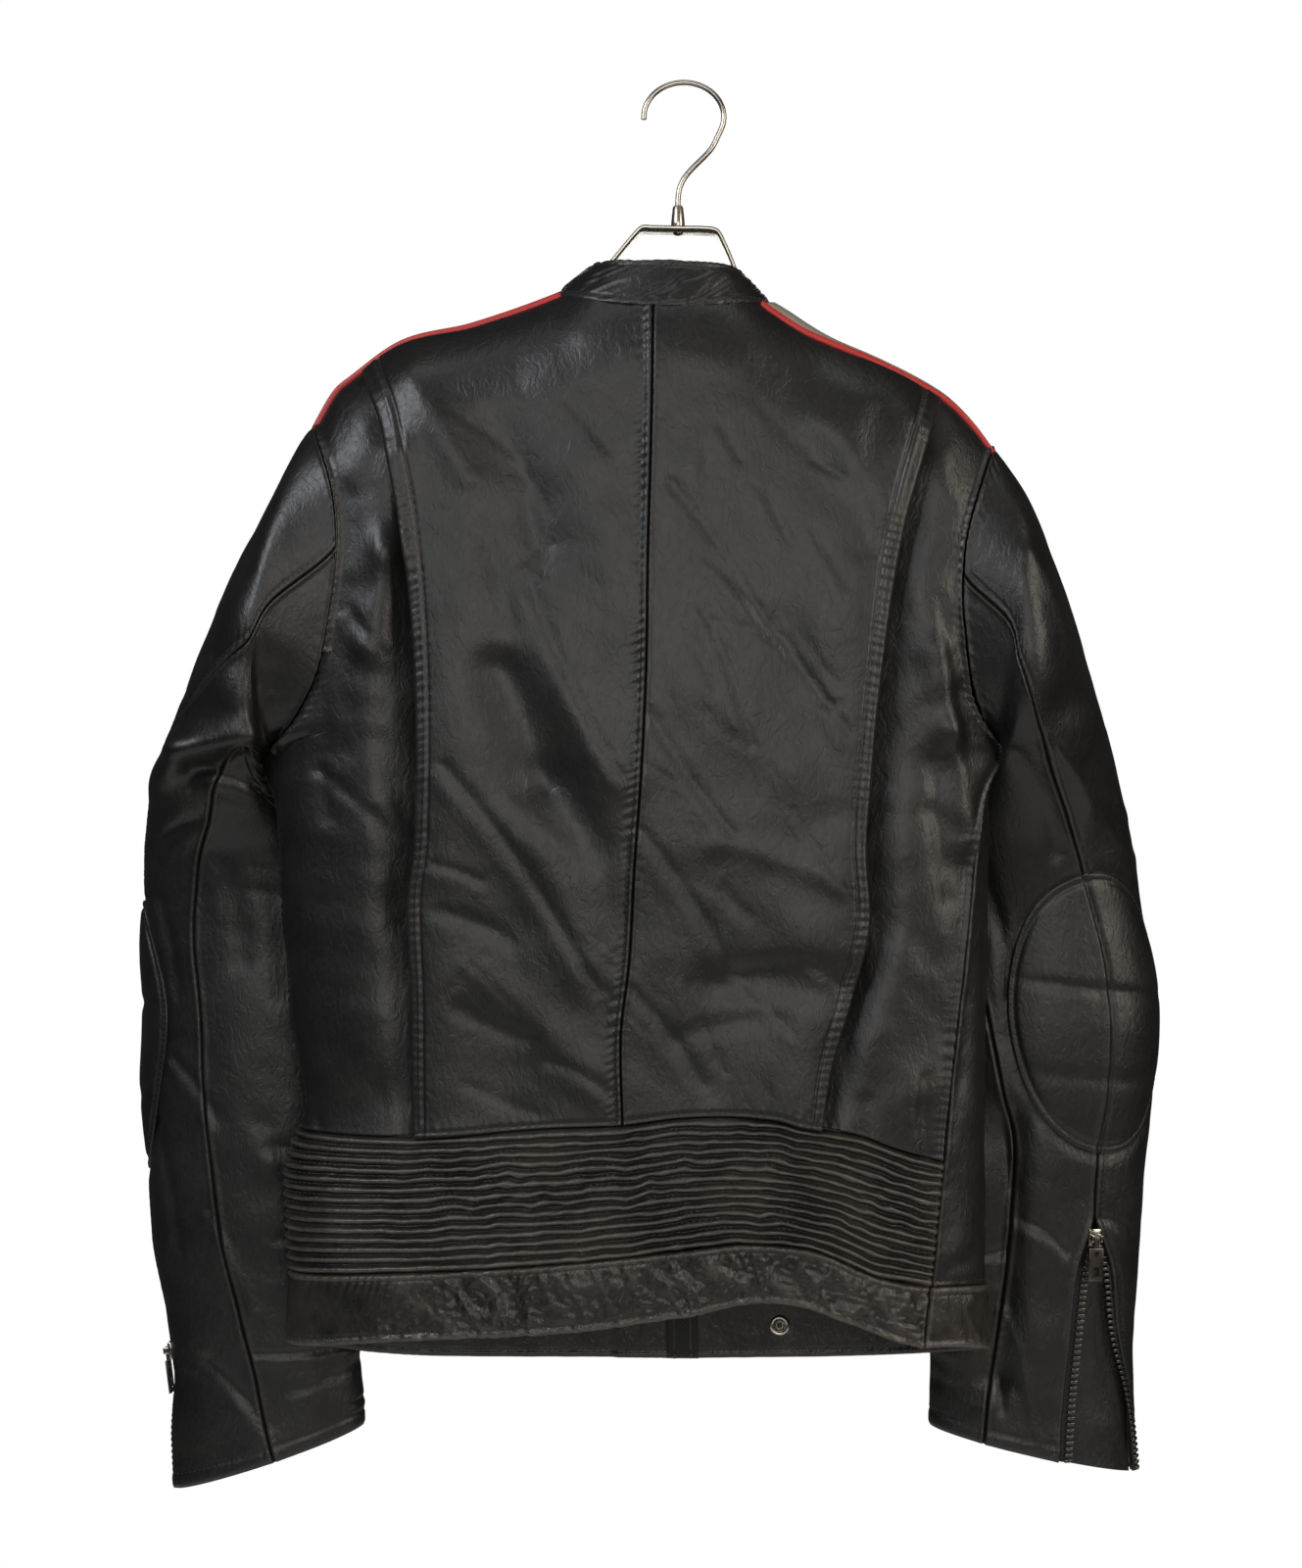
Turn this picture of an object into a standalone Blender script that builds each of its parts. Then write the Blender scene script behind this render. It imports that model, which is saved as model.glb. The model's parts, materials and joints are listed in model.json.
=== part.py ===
"""Black leather motorcycle jacket with an action back, hanging on a metal strip hanger.

The jacket's back faces -Y, X runs to the right of that view and Z is up, in metres. The origin is the
highest point inside the hook, where the hanger bears on its rail. Every panel is a wall of leather between
two nets of points, one on its skin side and one on its flesh side. The body's panels lie on one torso
surface, given by the angle round the body and the height, and each sleeve lies on a loft from its armhole
to its cuff. The seam tables are in millimetres, as measured on the jacket.
"""

import math
from bisect import bisect_right

import bmesh
import bpy
from mathutils import Matrix, Vector

MM = 0.001

# Driving dimensions.
LEATHER = 1.4 * MM
HEM_THICKNESS = 2.6 * MM
SEAM_GAP = 0.3 * MM
SHOULDER_ROUND = 70 * MM
SIDE_ROUNDNESS = 0.8
RIB_COUNT = 14
RIB_HEIGHT = 2.2 * MM
PLEAT_LAP = 12 * MM
PLEAT_LIFT = 3.6 * MM
UNDER_PLEAT = 0.9 * MM  # between the side panel and the leather folded over it
CENTRE_WIDTH = 140 * MM  # what the shares across a centre panel are measured on
COLLAR_THICKNESS = 2.0 * MM
COLLAR_TOP_HALF_WIDTH = 44.5 * MM
COLLAR_TOP_CENTRE = -8.3 * MM
PIPING_THICKNESS = 2.6 * MM
PAD_DOME = 5.0 * MM
PAD_LIFT, PAD_RIM = 1.6 * MM, 1.5 * MM
PAD_HALF_COLUMNS, PAD_HALF_DOWN = 3.0, 1.95
PAD_PLACE = {"left": (10.8, 10.15), "right": (6.8, 9.45)}  # column and section of its middle
CUFF_ZIP_TOP = {"left": 14.4, "right": 12.35}  # section
TAPE_DEPTH = {"left": (2.5 * MM, 2.7 * MM), "right": (1.8 * MM, 3.6 * MM)}  # back tape, front tape
HOOK_WIRE = 3.4 * MM
STRIP_WIDTH = 18 * MM
STRIP_THICKNESS = 2 * MM
STRIP_SEAT = 3.3 * MM
SNAP_RADIUS = 6.8 * MM
TAPE = 0.9 * MM
SLIDER_CLEARANCE = 0.5 * MM
GUSSET_LEATHER = 1.2 * MM
UNDERARM_LIFT = 5.5 * MM
UNDERARM = 0.52  # the share of a body panel's rows that lies below the underarm
HALF_ZIP = 3 * MM

# The torso at each height: its side edges, and how far it bulges to the back and to the front.
TORSO = [  # height, left, right, back, front
    (-773, -241, 185, 48, 46),
    (-722, -239, 183, 50, 46),
    (-659, -241, 183, 50, 46),
    (-626, -229, 183, 50, 46),
    (-578, -236, 183, 50, 46),
    (-518, -241, 184, 52, 48),
    (-458, -244, 185, 54, 50),
    (-407, -247, 181, 56, 52),
    (-308, -262, 208, 55, 52),
    (-98, -262, 208, 52, 50),
]
# The line of the shoulders, which rises under the collar to close the torso surface there.
SHOULDER = [  # x, height
    (-224, -210), (-211, -188), (-202, -180), (-170, -158), (-128, -148), (-76, -130), (-53, -118),
    (-14, -112), (28, -120), (52, -137), (73, -150), (119, -169), (155, -188), (172, -203), (187, -222),
]
NECK_LEFT, NECK_RIGHT = -76, 52
NECK_MIDDLE = -12 * MM
CHEST_HEIGHT = -300 * MM  # below every seam's meeting with the shoulders
NECK_LIFT = 0.8 * MM
COLLAR_MARGIN = 1.4 * MM

# Seams that run down the body: the height, then x.
CENTRE_SEAM = [
    (-630, -37), (-576, -38), (-532, -33), (-477, -30), (-422, -26), (-356, -23), (-289, -22), (-214, -20),
    (-145, -19),
]
PLEAT_LEFT = [
    (-637, -160), (-555, -161), (-499, -163), (-466, -159), (-377, -158), (-289, -165), (-215, -179),
    (-176, -195),
]
PLEAT_RIGHT = [
    (-633, 80), (-595, 86), (-551, 99), (-511, 108), (-466, 106), (-422, 109), (-377, 113), (-288, 126),
    (-225, 143), (-189, 156),
]
SIDE_SEAM_RIGHT = [
    (-773, 141), (-729, 147), (-693, 151), (-655, 155), (-616, 159), (-534, 168), (-457, 176), (-400, 181.5),
]
ARMHOLE_LEFT_BACK = [
    (-408, -247), (-394, -234), (-365, -219), (-327, -211), (-285, -207), (-247, -211), (-210, -224),
]
ARMHOLE_LEFT_FRONT = [
    (-408, -247), (-394, -232), (-365, -212), (-327, -200), (-285, -196), (-247, -203), (-210, -224),
]
ARMHOLE_RIGHT_BACK = [
    (-400, 181.5), (-371, 172), (-328, 166), (-306, 166), (-281, 168), (-255, 175), (-222, 187),
]
ARMHOLE_RIGHT_FRONT = [
    (-400, 181.5), (-371, 165), (-328, 155), (-306, 154), (-281, 157), (-255, 167), (-222, 187),
]
# The band over each shoulder, by how far it reaches round the shoulder to the front and to the back, in
# degrees; a piping lies along each edge, between the band and the panel below it.
SHOULDER_BANDS = {  # side: armhole end, front edge, back edge
    "left": (-222.6, -15.5, 15.5),
    "right": (185.8, -15, 22),
}
PIPING_TURN, PANEL_TURN = 5.0, 5.6
ZIP_LINE = [(-791, 0), (-600, -4), (-400, -9), (-195, -14)]

# Seams that run across: x, then the height.
RIB_TOP = [
    (-240, -639), (-227, -638), (-160, -638), (-81, -632), (-37, -630), (-5, -626), (24, -625), (54, -627),
    (68, -631), (102, -637), (126, -646), (155, -655),
]
HEM_SEAM = [
    (-240, -724), (-174, -719), (-81, -712), (-5, -704), (18, -701), (42, -700), (78, -705), (114, -721),
    (147, -729),
]
BACK_HEM = [
    (-241, -768), (-157, -758), (-81, -753), (-46, -749), (1, -742), (38, -735), (66, -737), (90, -746),
    (125, -760), (141, -765),
]
COLLAR_BACK = [(-76, -130), (-70, -134), (-45, -141), (-19, -143.5), (12, -143), (40, -138.5), (52, -137)]
COLLAR_FRONT = [
    (-76, -130), (-72, -146), (-66, -160), (-48, -179), (-14, -192), (24, -182), (43, -164), (50, -148),
    (52, -137),
]

# Seams across the fronts: the angle round the body in degrees, then the height.
FRONT_SEAM = [(-190, -742), (-140, -738), (-90, -726), (57, -729), (90, -733), (140, -740), (174, -742)]
FRONT_HEM = [(-190, -791), (-140, -787), (-90, -770), (57, -765), (90, -774), (140, -787), (174, -791)]

# Soft folds of the back: where each starts and ends, its half width and how far it stands out.
BODY_FOLDS = [  # x, height, x, height, half width, lift
    (-172, -235, -175, -290, 12, 5),
    (-175, -290, -185, -345, 11, 4),
    (150, -350, 158, -395, 12, 4),
    (158, -395, 170, -460, 11, 4),
    (-110, -365, -85, -425, 16, -4),
    (-85, -425, -55, -465, 14, -3),
    (20, -545, 90, -548, 12, -3),
    (-205, -690, -150, -700, 14, 3),
    (60, -680, 110, -690, 14, 3),
]
SLEEVE_FOLDS = [
    (-338, -430, -300, -405, 10, 7),
    (-300, -405, -262, -398, 9, 8),
    (-300, -425, -262, -415, 8, -5),
    (-300, -330, -250, -365, 14, -3),
    (232, -380, 262, -345, 14, -3),
]

# Each sleeve from the armhole, which is its first section, to the cuff: the outer and the inner edge of
# every section as seen from the back, how far forward its centre is, and half its depth.
LEFT_SLEEVE = [  # outer x, outer height, inner x, inner height, forward, half depth
    (-235, -221, -254, -409, 0, 46),
    (-259, -268, -257, -415, 0, 50),
    (-281, -310, -256, -421, 4, 52),
    (-301, -355, -253, -428, 12, 50),
    (-321, -402, -247, -439, 24, 46),
    (-333, -431, -236, -452, 38, 38),
    (-340, -459, -224, -468, 52, 34),
    (-343, -493, -214, -493, 60, 35),
    (-343, -528, -212, -528, 63, 36),
    (-340, -572, -209, -572, 63, 36),
    (-342, -622, -209, -622, 63, 35),
    (-340, -672, -209, -672, 62, 33),
    (-337, -722, -208, -717, 61, 30),
    (-328, -766, -207, -759, 60, 28),
    (-323, -803, -205, -794, 59, 26),
    (-325, -840, -203, -816, 58, 25),
    (-323, -875, -202, -835, 57, 25),
]
RIGHT_SLEEVE = [
    (197, -232, 189, -401, 0, 46),
    (211, -255, 192, -406, 0, 50),
    (229, -300, 191, -412, 4, 52),
    (245, -342, 188, -419, 12, 50),
    (262, -390, 182, -428, 24, 46),
    (275, -431, 175, -442, 38, 40),
    (285, -465, 167, -463, 52, 36),
    (293, -506, 160, -495, 60, 36),
    (302, -553, 157, -534, 63, 37),
    (303, -597, 155, -581, 63, 37),
    (298, -644, 156, -634, 62, 35),
    (294, -687, 157, -681, 61, 33),
    (291, -734, 159, -728, 60, 30),
    (288, -778, 159, -769, 59, 28),
    (288, -821, 158, -803, 58, 26),
    (290, -865, 157, -835, 57, 26),
]
# Seams of the sleeves by section: the columns count round the sleeve from its inner edge (0) over the back
# (5), the outer edge (10) and the front (15). The back seam opens to both sides at the cuff zip.
SLEEVE_COLUMNS = 20
LEFT_SEAMS = [  # section, under seam, back seam, half its opening
    (0, 0, 5.7, 0), (1, 0.3, 4.85, 0), (2, 1.4, 4.95, 0), (3.2, 2.8, 6, 0), (4.2, 3.9, 7.2, 0),
    (5.2, 4.9, 9.6, 0), (6.5, 5.55, 10, 0), (7.6, 6.2, 10.1, 0), (9.3, 6.45, 10.1, 0), (11.5, 6.1, 10.1, 0),
    (14.3, 5.45, 10.1, 0), (15, 5.25, 10.3, 0.45), (17, 4.65, 10.8, 1.05),
]
RIGHT_SEAMS = [
    (0, 0, 5.25, 0), (0.9, 0.2, 4.5, 0), (1.8, 0.6, 3.95, 0), (3.5, 1.2, 4.15, 0), (5.1, 1.7, 4.8, 0),
    (6.5, 2.1, 5.65, 0), (8.2, 2.5, 6.45, 0), (10.6, 3.7, 6.76, 0), (11.3, 4.1, 6.64, 0), (12.25, 4.05, 6.62, 0),
    (13, 3.9, 6.75, 0.6), (14, 3.66, 6.95, 0.95), (15, 3.42, 7.4, 1.6), (16, 3.24, 7.75, 2.15),
]

BACK, FRONT_LEFT, FRONT_RIGHT = "back", "front left", "front right"
ARMHOLE_STEPS = 10


class Curve:
    """A smooth curve through the rows of a table, whose first column is the place along it."""

    def __init__(self, rows, scale=MM):
        self.keys = [row[0] for row in rows]
        self.values = [Vector([value * scale for value in row[1:]]) for row in rows]
        self.slopes = []
        last = len(rows) - 1
        for i in range(len(rows)):
            before, after = max(i - 1, 0), min(i + 1, last)
            span = self.keys[after] - self.keys[before]
            self.slopes.append((self.values[after] - self.values[before]) / span)

    def __call__(self, key):
        key = min(max(key, self.keys[0]), self.keys[-1])
        i = min(bisect_right(self.keys, key), len(self.keys) - 1) - 1
        span = self.keys[i + 1] - self.keys[i]
        t = (key - self.keys[i]) / span
        ease_in, ease_out = t * t * (3 - 2 * t), t * (1 - t) * (1 - t)
        bend = self.slopes[i] * ease_out - self.slopes[i + 1] * (t * t * (1 - t))
        return self.values[i].lerp(self.values[i + 1], ease_in) + bend * span


def curve_in_mm(rows):
    """A curve of one value whose table is in millimetres on both sides."""
    line = Curve([row if len(row) > 2 else (*row, 0) for row in rows])
    return lambda place: line(place / MM)[0]


TORSO_AT = Curve(TORSO)
SHOULDER_AT = curve_in_mm(SHOULDER)
COLLAR_BACK_AT = curve_in_mm(COLLAR_BACK)
COLLAR_FRONT_AT = curve_in_mm(COLLAR_FRONT)


def torso(angle, height):
    """The point of the torso at an angle round it (0 is the centre back, 90 degrees the right side)."""
    left, right, back, front = TORSO_AT(height / MM)
    x = (left + right) / 2 + (right - left) / 2 * math.sin(angle)
    side = math.cos(angle)
    closing = (height - SHOULDER_AT(x) + SHOULDER_ROUND) / SHOULDER_ROUND
    closing = min(max(closing, 0), 1)
    depth = abs(side) ** SIDE_ROUNDNESS * math.sqrt(1 - closing * closing)
    return Vector((x, -back * depth if side > 0 else front * depth, height))


def fold_lift(folds, x, height):
    """How far the folds of a table stand out at a place of the back view."""
    lift = 0
    place = Vector((x, height))
    for x1, z1, x2, z2, half_width, stand in folds:
        start, end = Vector((x1, z1)) * MM, Vector((x2, z2)) * MM
        run = end - start
        t = min(max((place - start).dot(run) / run.length_squared, 0), 1)
        apart = (place - start - run * t).length / (half_width * MM)
        lift += stand * MM * math.exp(-apart * apart)
    return lift


def torso_offset(angle, height, off, shift=0):
    """A torso point moved off the surface along its normal, and along the surface by a shift."""
    point = torso(angle, height)
    across = torso(angle + 0.01, height) - torso(angle - 0.01, height)
    rise = point - torso(angle, height - 0.5 * MM)
    normal = across.cross(rise).normalized()
    if math.cos(angle) > 0:
        off += fold_lift(BODY_FOLDS, point.x, height) * min(1, 2 * math.cos(angle))
    return point + normal * off + across.normalized() * shift


def angle_at(x, height, face):
    """The angle round the torso of a place on one of its faces."""
    left, right, _, _ = TORSO_AT(height / MM)
    turn = math.asin(min(max((2 * x - left - right) / (right - left), -1), 1))
    return {BACK: turn, FRONT_RIGHT: math.pi - turn, FRONT_LEFT: -math.pi - turn}[face]


def down_line(rows, face, low=None, high=None):
    """A seam down the torso as angle and height, from a table of height and x."""
    x_at = curve_in_mm(rows)
    low = rows[0][0] * MM if low is None else low
    high = rows[-1][0] * MM if high is None else high

    def line(t):
        height = low + (high - low) * t
        return Vector((angle_at(x_at(height), height, face), height))

    return line


def cross_line(height_at, start_x, end_x, face):
    """A seam across the torso as angle and height, between two places along it."""

    def line(t):
        x = start_x + (end_x - start_x) * t
        height = height_at(x)
        return Vector((angle_at(x, height, face), height))

    return line


def angle_line(rows, start, end):
    """A seam across the torso from a table of angle and height, between two angles."""
    height_at = Curve([(*row, 0) for row in rows])

    def line(t):
        angle = start + (end - start) * t
        return Vector((angle, height_at(math.degrees(angle))[0]))

    return line


def joined(lower, upper, share):
    """Two lines end to end, the lower one up to a share of the way."""
    return lambda t: lower(t / share) if t <= share else upper((t - share) / (1 - share))


def patch(bottom, top, left, right):
    """The places between four seams, from the left to the right and from the bottom to the top."""

    def place(u, v):
        corners = (bottom(0) * (1 - u) + bottom(1) * u) * (1 - v) + (top(0) * (1 - u) + top(1) * u) * v
        return bottom(u) * (1 - v) + top(u) * v + left(v) * (1 - u) + right(v) * u - corners

    return place


def material(name, colour, roughness, metallic=0.0):
    """A plain surface of one colour."""
    surface = bpy.data.materials.get(name) or bpy.data.materials.new(name)
    surface.use_nodes = True
    shader = surface.node_tree.nodes["Principled BSDF"]
    shader.inputs["Base Color"].default_value = (*colour, 1)
    shader.inputs["Roughness"].default_value = roughness
    shader.inputs["Metallic"].default_value = metallic
    return surface


def place_object(name, mesh, surface):
    """Puts a mesh into the jacket's collection under its piece's name."""
    part = bpy.data.objects.new(name, mesh)
    part.data.materials.append(surface)
    bpy.data.collections["motorcycle_jacket"].objects.link(part)
    return part


def wall(name, skin, flesh, across, along, surface):
    """One piece as a closed wall: a net on the flesh side, raised to the net on the skin side."""
    shape = bmesh.new()
    bmesh.ops.create_grid(shape, x_segments=len(across) - 1, y_segments=len(along) - 1, size=0.5)
    place = shape.verts.layers.float_vector.new("place")
    for vert in shape.verts:
        column, row = (vert.co.x + 0.5) * (len(across) - 1), (vert.co.y + 0.5) * (len(along) - 1)
        vert[place] = (across[round(column)], along[round(row)], 0)
    raised = bmesh.ops.extrude_face_region(shape, geom=shape.faces[:], use_keep_orig=True)["geom"]
    skin_side = {part for part in raised if isinstance(part, bmesh.types.BMVert)}
    for vert in shape.verts:
        u, v, _ = vert[place]
        vert.co = (skin if vert in skin_side else flesh)(u, v)
    bmesh.ops.recalc_face_normals(shape, faces=shape.faces)
    mesh = bpy.data.meshes.new(name)
    shape.to_mesh(mesh)
    shape.free()
    mesh.shade_smooth()
    mesh.set_sharp_from_angle(angle=math.radians(50))
    return place_object(name, mesh, surface)


def even(count):
    """Places from 0 to 1 in equal steps."""
    return [i / count for i in range(count + 1)]


def armhole_steps():
    """Places up an armhole that close up at the underarm and at the shoulder, as the sleeve's do."""
    return [(1 - math.cos(math.pi * i / ARMHOLE_STEPS)) / 2 for i in range(ARMHOLE_STEPS + 1)]


def inside(t, low, high):
    """A place kept off the ends by the seam's gap, with all places between as they are."""
    return min(max(t, low), 1 - high)


def body_rows(armhole_top, below_ribs=0):
    """Places up a body panel: even to the underarm, and then at the sleeve's points up to the shoulder.

    A front also has the part of its side seam beside the ribs, as a share of the seam's height.
    """
    seam = [below_ribs / 2 * t for t in range(2 if below_ribs else 0)]
    seam += [below_ribs + (1 - below_ribs) * t for t in even(7)]
    steps = [t / armhole_top for t in armhole_steps()[1:] if t < armhole_top - 0.004] + [1]
    return [UNDERARM * t for t in seam] + [UNDERARM + (1 - UNDERARM) * t for t in steps]


def torso_panel(name, place, across, along, surface, skin, flesh, margins):
    """A panel of the body: its places, and how far its two sides stand off the torso surface.

    The margins hold it off its neighbours at the left, right, bottom and top, as shares of its size.
    """
    left, right, bottom, top = margins

    def side(off):
        def point(u, v):
            angle, height = place(inside(u, left, right), inside(v, bottom, top))
            return torso_offset(angle, height, off(u, v))

        return point

    return wall(name, side(skin), side(flesh), across, along, surface)


def flat(off):
    """The same distance all over a panel."""
    return lambda u, v: off


def build_centre_back(name, place, mirror, leather, columns, rows):
    """A centre back panel, whose outer edge is folded back under itself to lap over the side panel.

    Its net starts under the fold, turns round the edge and goes on over the back to the centre seam.
    """
    half = LEATHER / 2
    low = LEATHER + UNDER_PLEAT + half
    high = low + PLEAT_LIFT - half
    middle = (low + high) / 2
    fold = [  # distance in from the fold's edge, the layer's middle off the torso, which way it faces
        (PLEAT_LAP + 3 * MM, low, -1),
        (3 * MM, low, -1),
        (0.6 * MM, low, -1),
        (0, middle, 0),
        (0.6 * MM, high, 1),
        (5 * MM, high, 1),
        (PLEAT_LAP + 4 * MM, high, 1),
    ]
    nets = [(distance / CENTRE_WIDTH, off, facing) for distance, off, facing in fold]
    sewn_from, flattened = 0.9, 0.38
    nets += [(u, half, 1) for u in columns]

    def side(sign):
        def point(index, v):
            u, off, facing = nets[int(round(index))]
            reach = inside(u, 0, SEAM_GAP / CENTRE_WIDTH)
            angle, height = place(reach if mirror > 0 else 1 - reach, inside(v, 0.0009, 0.0009))
            shift = -mirror * sign * half if facing == 0 else 0
            flatter = 1 - flattened * max(0, v - sewn_from) / (1 - sewn_from)
            rise = off if off <= low else low + (off - low) * flatter
            return torso_offset(angle, height, rise + sign * half * facing, shift)

        return point

    return wall(name, side(1), side(-1), list(range(len(nets))), rows, leather)


def band_edge(side, face):
    """How far below the shoulder line a body panel stops, next to the piping of the shoulder's band."""
    front, back = SHOULDER_BANDS[side][1:]
    turn = math.radians((back if face == BACK else -front) + PANEL_TURN)
    return SHOULDER_ROUND * (1 - math.cos(turn))


def neck_edge(x, collar_at):
    """The height at which a body panel stops under the collar, lower where the collar's base is steep."""
    slope = (collar_at(x + MM) - collar_at(x - MM)) / (2 * MM)
    return collar_at(x) + NECK_LIFT * (2 - min(math.hypot(1, slope), 5))


def top_edge(collar_at, face):
    """The height of the top of a panel: the shoulder's piping, or the collar's base where that is lower."""

    def height(x):
        return min(neck_edge(x, collar_at), SHOULDER_AT(x) - band_edge("left" if x < 0 else "right", face))

    return height


def meeting(rows, top_at):
    """The height at which a seam down the torso meets the top edge of its panel."""
    x_at = curve_in_mm(rows)
    low, high = CHEST_HEIGHT, rows[-1][0] * MM + 20 * MM
    for _ in range(40):
        middle = (low + high) / 2
        low, high = (middle, high) if middle < top_at(x_at(middle)) else (low, middle)
    return low


def armhole_top(rows, top_at):
    """The share of an armhole's height at which the body panel ends."""
    low, high = rows[0][0] * MM, rows[-1][0] * MM
    return (meeting(rows, top_at) - low) / (high - low)


def armhole_line(rows, face, top_at):
    """An armhole's seam from the underarm to the shoulder band's piping."""
    line, top = down_line(rows, face), armhole_top(rows, top_at)
    return lambda t: line(t * top)


def edge_x(rows, top_at):
    """The place across the torso at which a seam meets the top edge of its panel."""
    return curve_in_mm(rows)(meeting(rows, top_at))


def build_body(leather):
    """The back, the fronts and their hem bands."""
    rib_top, hem_seam, back_hem = (curve_in_mm(rows) for rows in (RIB_TOP, HEM_SEAM, BACK_HEM))
    shoulder_back = top_edge(COLLAR_BACK_AT, BACK)
    shoulder_front = top_edge(COLLAR_FRONT_AT, FRONT_LEFT)
    rows_left = body_rows(armhole_top(ARMHOLE_LEFT_BACK, shoulder_back))
    rows_right = body_rows(armhole_top(ARMHOLE_RIGHT_BACK, shoulder_back))
    centre_top = meeting(CENTRE_SEAM, shoulder_back)
    left_side = -math.pi / 2
    left_x, right_x = RIB_TOP[0][0] * MM, RIB_TOP[-1][0] * MM
    hem_left_x, hem_right_x, hem_seam_right_x = BACK_HEM[0][0] * MM, BACK_HEM[-1][0] * MM, HEM_SEAM[-1][0] * MM
    pleat_left_x, pleat_right_x = PLEAT_LEFT[0][1] * MM, PLEAT_RIGHT[0][1] * MM
    centre_x, centre_top_x = -37 * MM, CENTRE_SEAM[-1][1] * MM
    underarm_left, underarm_right = ARMHOLE_LEFT_BACK[0][0] * MM, ARMHOLE_RIGHT_BACK[0][0] * MM

    def left_seam(low, high):
        return lambda t: Vector((left_side, low + (high - low) * t))

    # Centre panels.
    columns = [0.2, 0.34, 0.47, 0.58, 0.688, 0.8, 0.9, 1]
    place = patch(
        cross_line(rib_top, pleat_left_x, centre_x, BACK),
        cross_line(shoulder_back, edge_x(PLEAT_LEFT, shoulder_back), centre_top_x, BACK),
        down_line(PLEAT_LEFT, BACK, rib_top(pleat_left_x), meeting(PLEAT_LEFT, shoulder_back)),
        down_line(CENTRE_SEAM, BACK, rib_top(centre_x), centre_top),
    )
    build_centre_back("back_centre_left", place, 1, leather, columns, rows_left)
    columns = [0.2, 0.31, 0.42, 0.53, 0.64, 0.74, 0.87, 1]
    place = patch(
        cross_line(rib_top, centre_x, pleat_right_x, BACK),
        cross_line(shoulder_back, centre_top_x, edge_x(PLEAT_RIGHT, shoulder_back), BACK),
        down_line(CENTRE_SEAM, BACK, rib_top(centre_x), centre_top),
        down_line(PLEAT_RIGHT, BACK, rib_top(pleat_right_x), meeting(PLEAT_RIGHT, shoulder_back)),
    )
    build_centre_back("back_centre_right", place, -1, leather, columns, rows_right)

    # Side panels, which reach under the pleats by the lap.
    lap = PLEAT_LAP / MM
    under_left = [(z, x + lap) for z, x in PLEAT_LEFT]
    under_right = [(z, x - lap) for z, x in PLEAT_RIGHT]
    outer = joined(left_seam(rib_top(left_x), underarm_left),
                   armhole_line(ARMHOLE_LEFT_BACK, BACK, shoulder_back), UNDERARM)
    place = patch(
        cross_line(rib_top, left_x, pleat_left_x + PLEAT_LAP, BACK),
        cross_line(shoulder_back, edge_x(ARMHOLE_LEFT_BACK, shoulder_back),
                   edge_x(under_left, shoulder_back), BACK),
        outer,
        down_line(under_left, BACK, rib_top(pleat_left_x + PLEAT_LAP), meeting(under_left, shoulder_back)),
    )
    across = even(6)
    torso_panel("back_side_left", place, across, rows_left, leather, flat(LEATHER), flat(0),
                (0.005, 0, 0.0009, 0.0009))
    outer = joined(
        down_line(SIDE_SEAM_RIGHT, BACK, rib_top(right_x), underarm_right),
        armhole_line(ARMHOLE_RIGHT_BACK, BACK, shoulder_back),
        UNDERARM,
    )
    place = patch(
        cross_line(rib_top, pleat_right_x - PLEAT_LAP, right_x, BACK),
        cross_line(shoulder_back, edge_x(under_right, shoulder_back),
                   edge_x(ARMHOLE_RIGHT_BACK, shoulder_back), BACK),
        down_line(under_right, BACK, rib_top(pleat_right_x - PLEAT_LAP), meeting(under_right, shoulder_back)),
        outer,
    )
    torso_panel("back_side_right", place, across, rows_right, leather, flat(LEATHER), flat(0),
                (0, 0.005, 0.0009, 0.0009))

    # Ribbed panel and the hem band below it.
    ribs = even(2 * RIB_COUNT)

    def rib_skin(u, v):
        return LEATHER + (RIB_HEIGHT if round(v * 2 * RIB_COUNT) % 2 else 0)

    low, high = hem_seam(left_x), rib_top(left_x)
    place = patch(
        cross_line(hem_seam, left_x, hem_seam_right_x, BACK),
        cross_line(rib_top, left_x, right_x, BACK),
        left_seam(low, high),
        down_line(SIDE_SEAM_RIGHT, BACK, hem_seam(hem_seam_right_x), rib_top(right_x)),
    )
    torso_panel("rib_panel", place, even(14), ribs, leather, rib_skin, flat(0), (0.001, 0.001, 0.004, 0.004))
    place = patch(
        cross_line(back_hem, hem_left_x, hem_right_x, BACK),
        cross_line(hem_seam, left_x, hem_seam_right_x, BACK),
        left_seam(back_hem(hem_left_x), low),
        down_line(SIDE_SEAM_RIGHT, BACK, back_hem(hem_right_x), hem_seam(hem_seam_right_x)),
    )
    torso_panel("back_hem_band", place, even(14), even(3), leather, flat(HEM_THICKNESS), flat(0),
                (0.001, 0.001, 0, 0.008))

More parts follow.
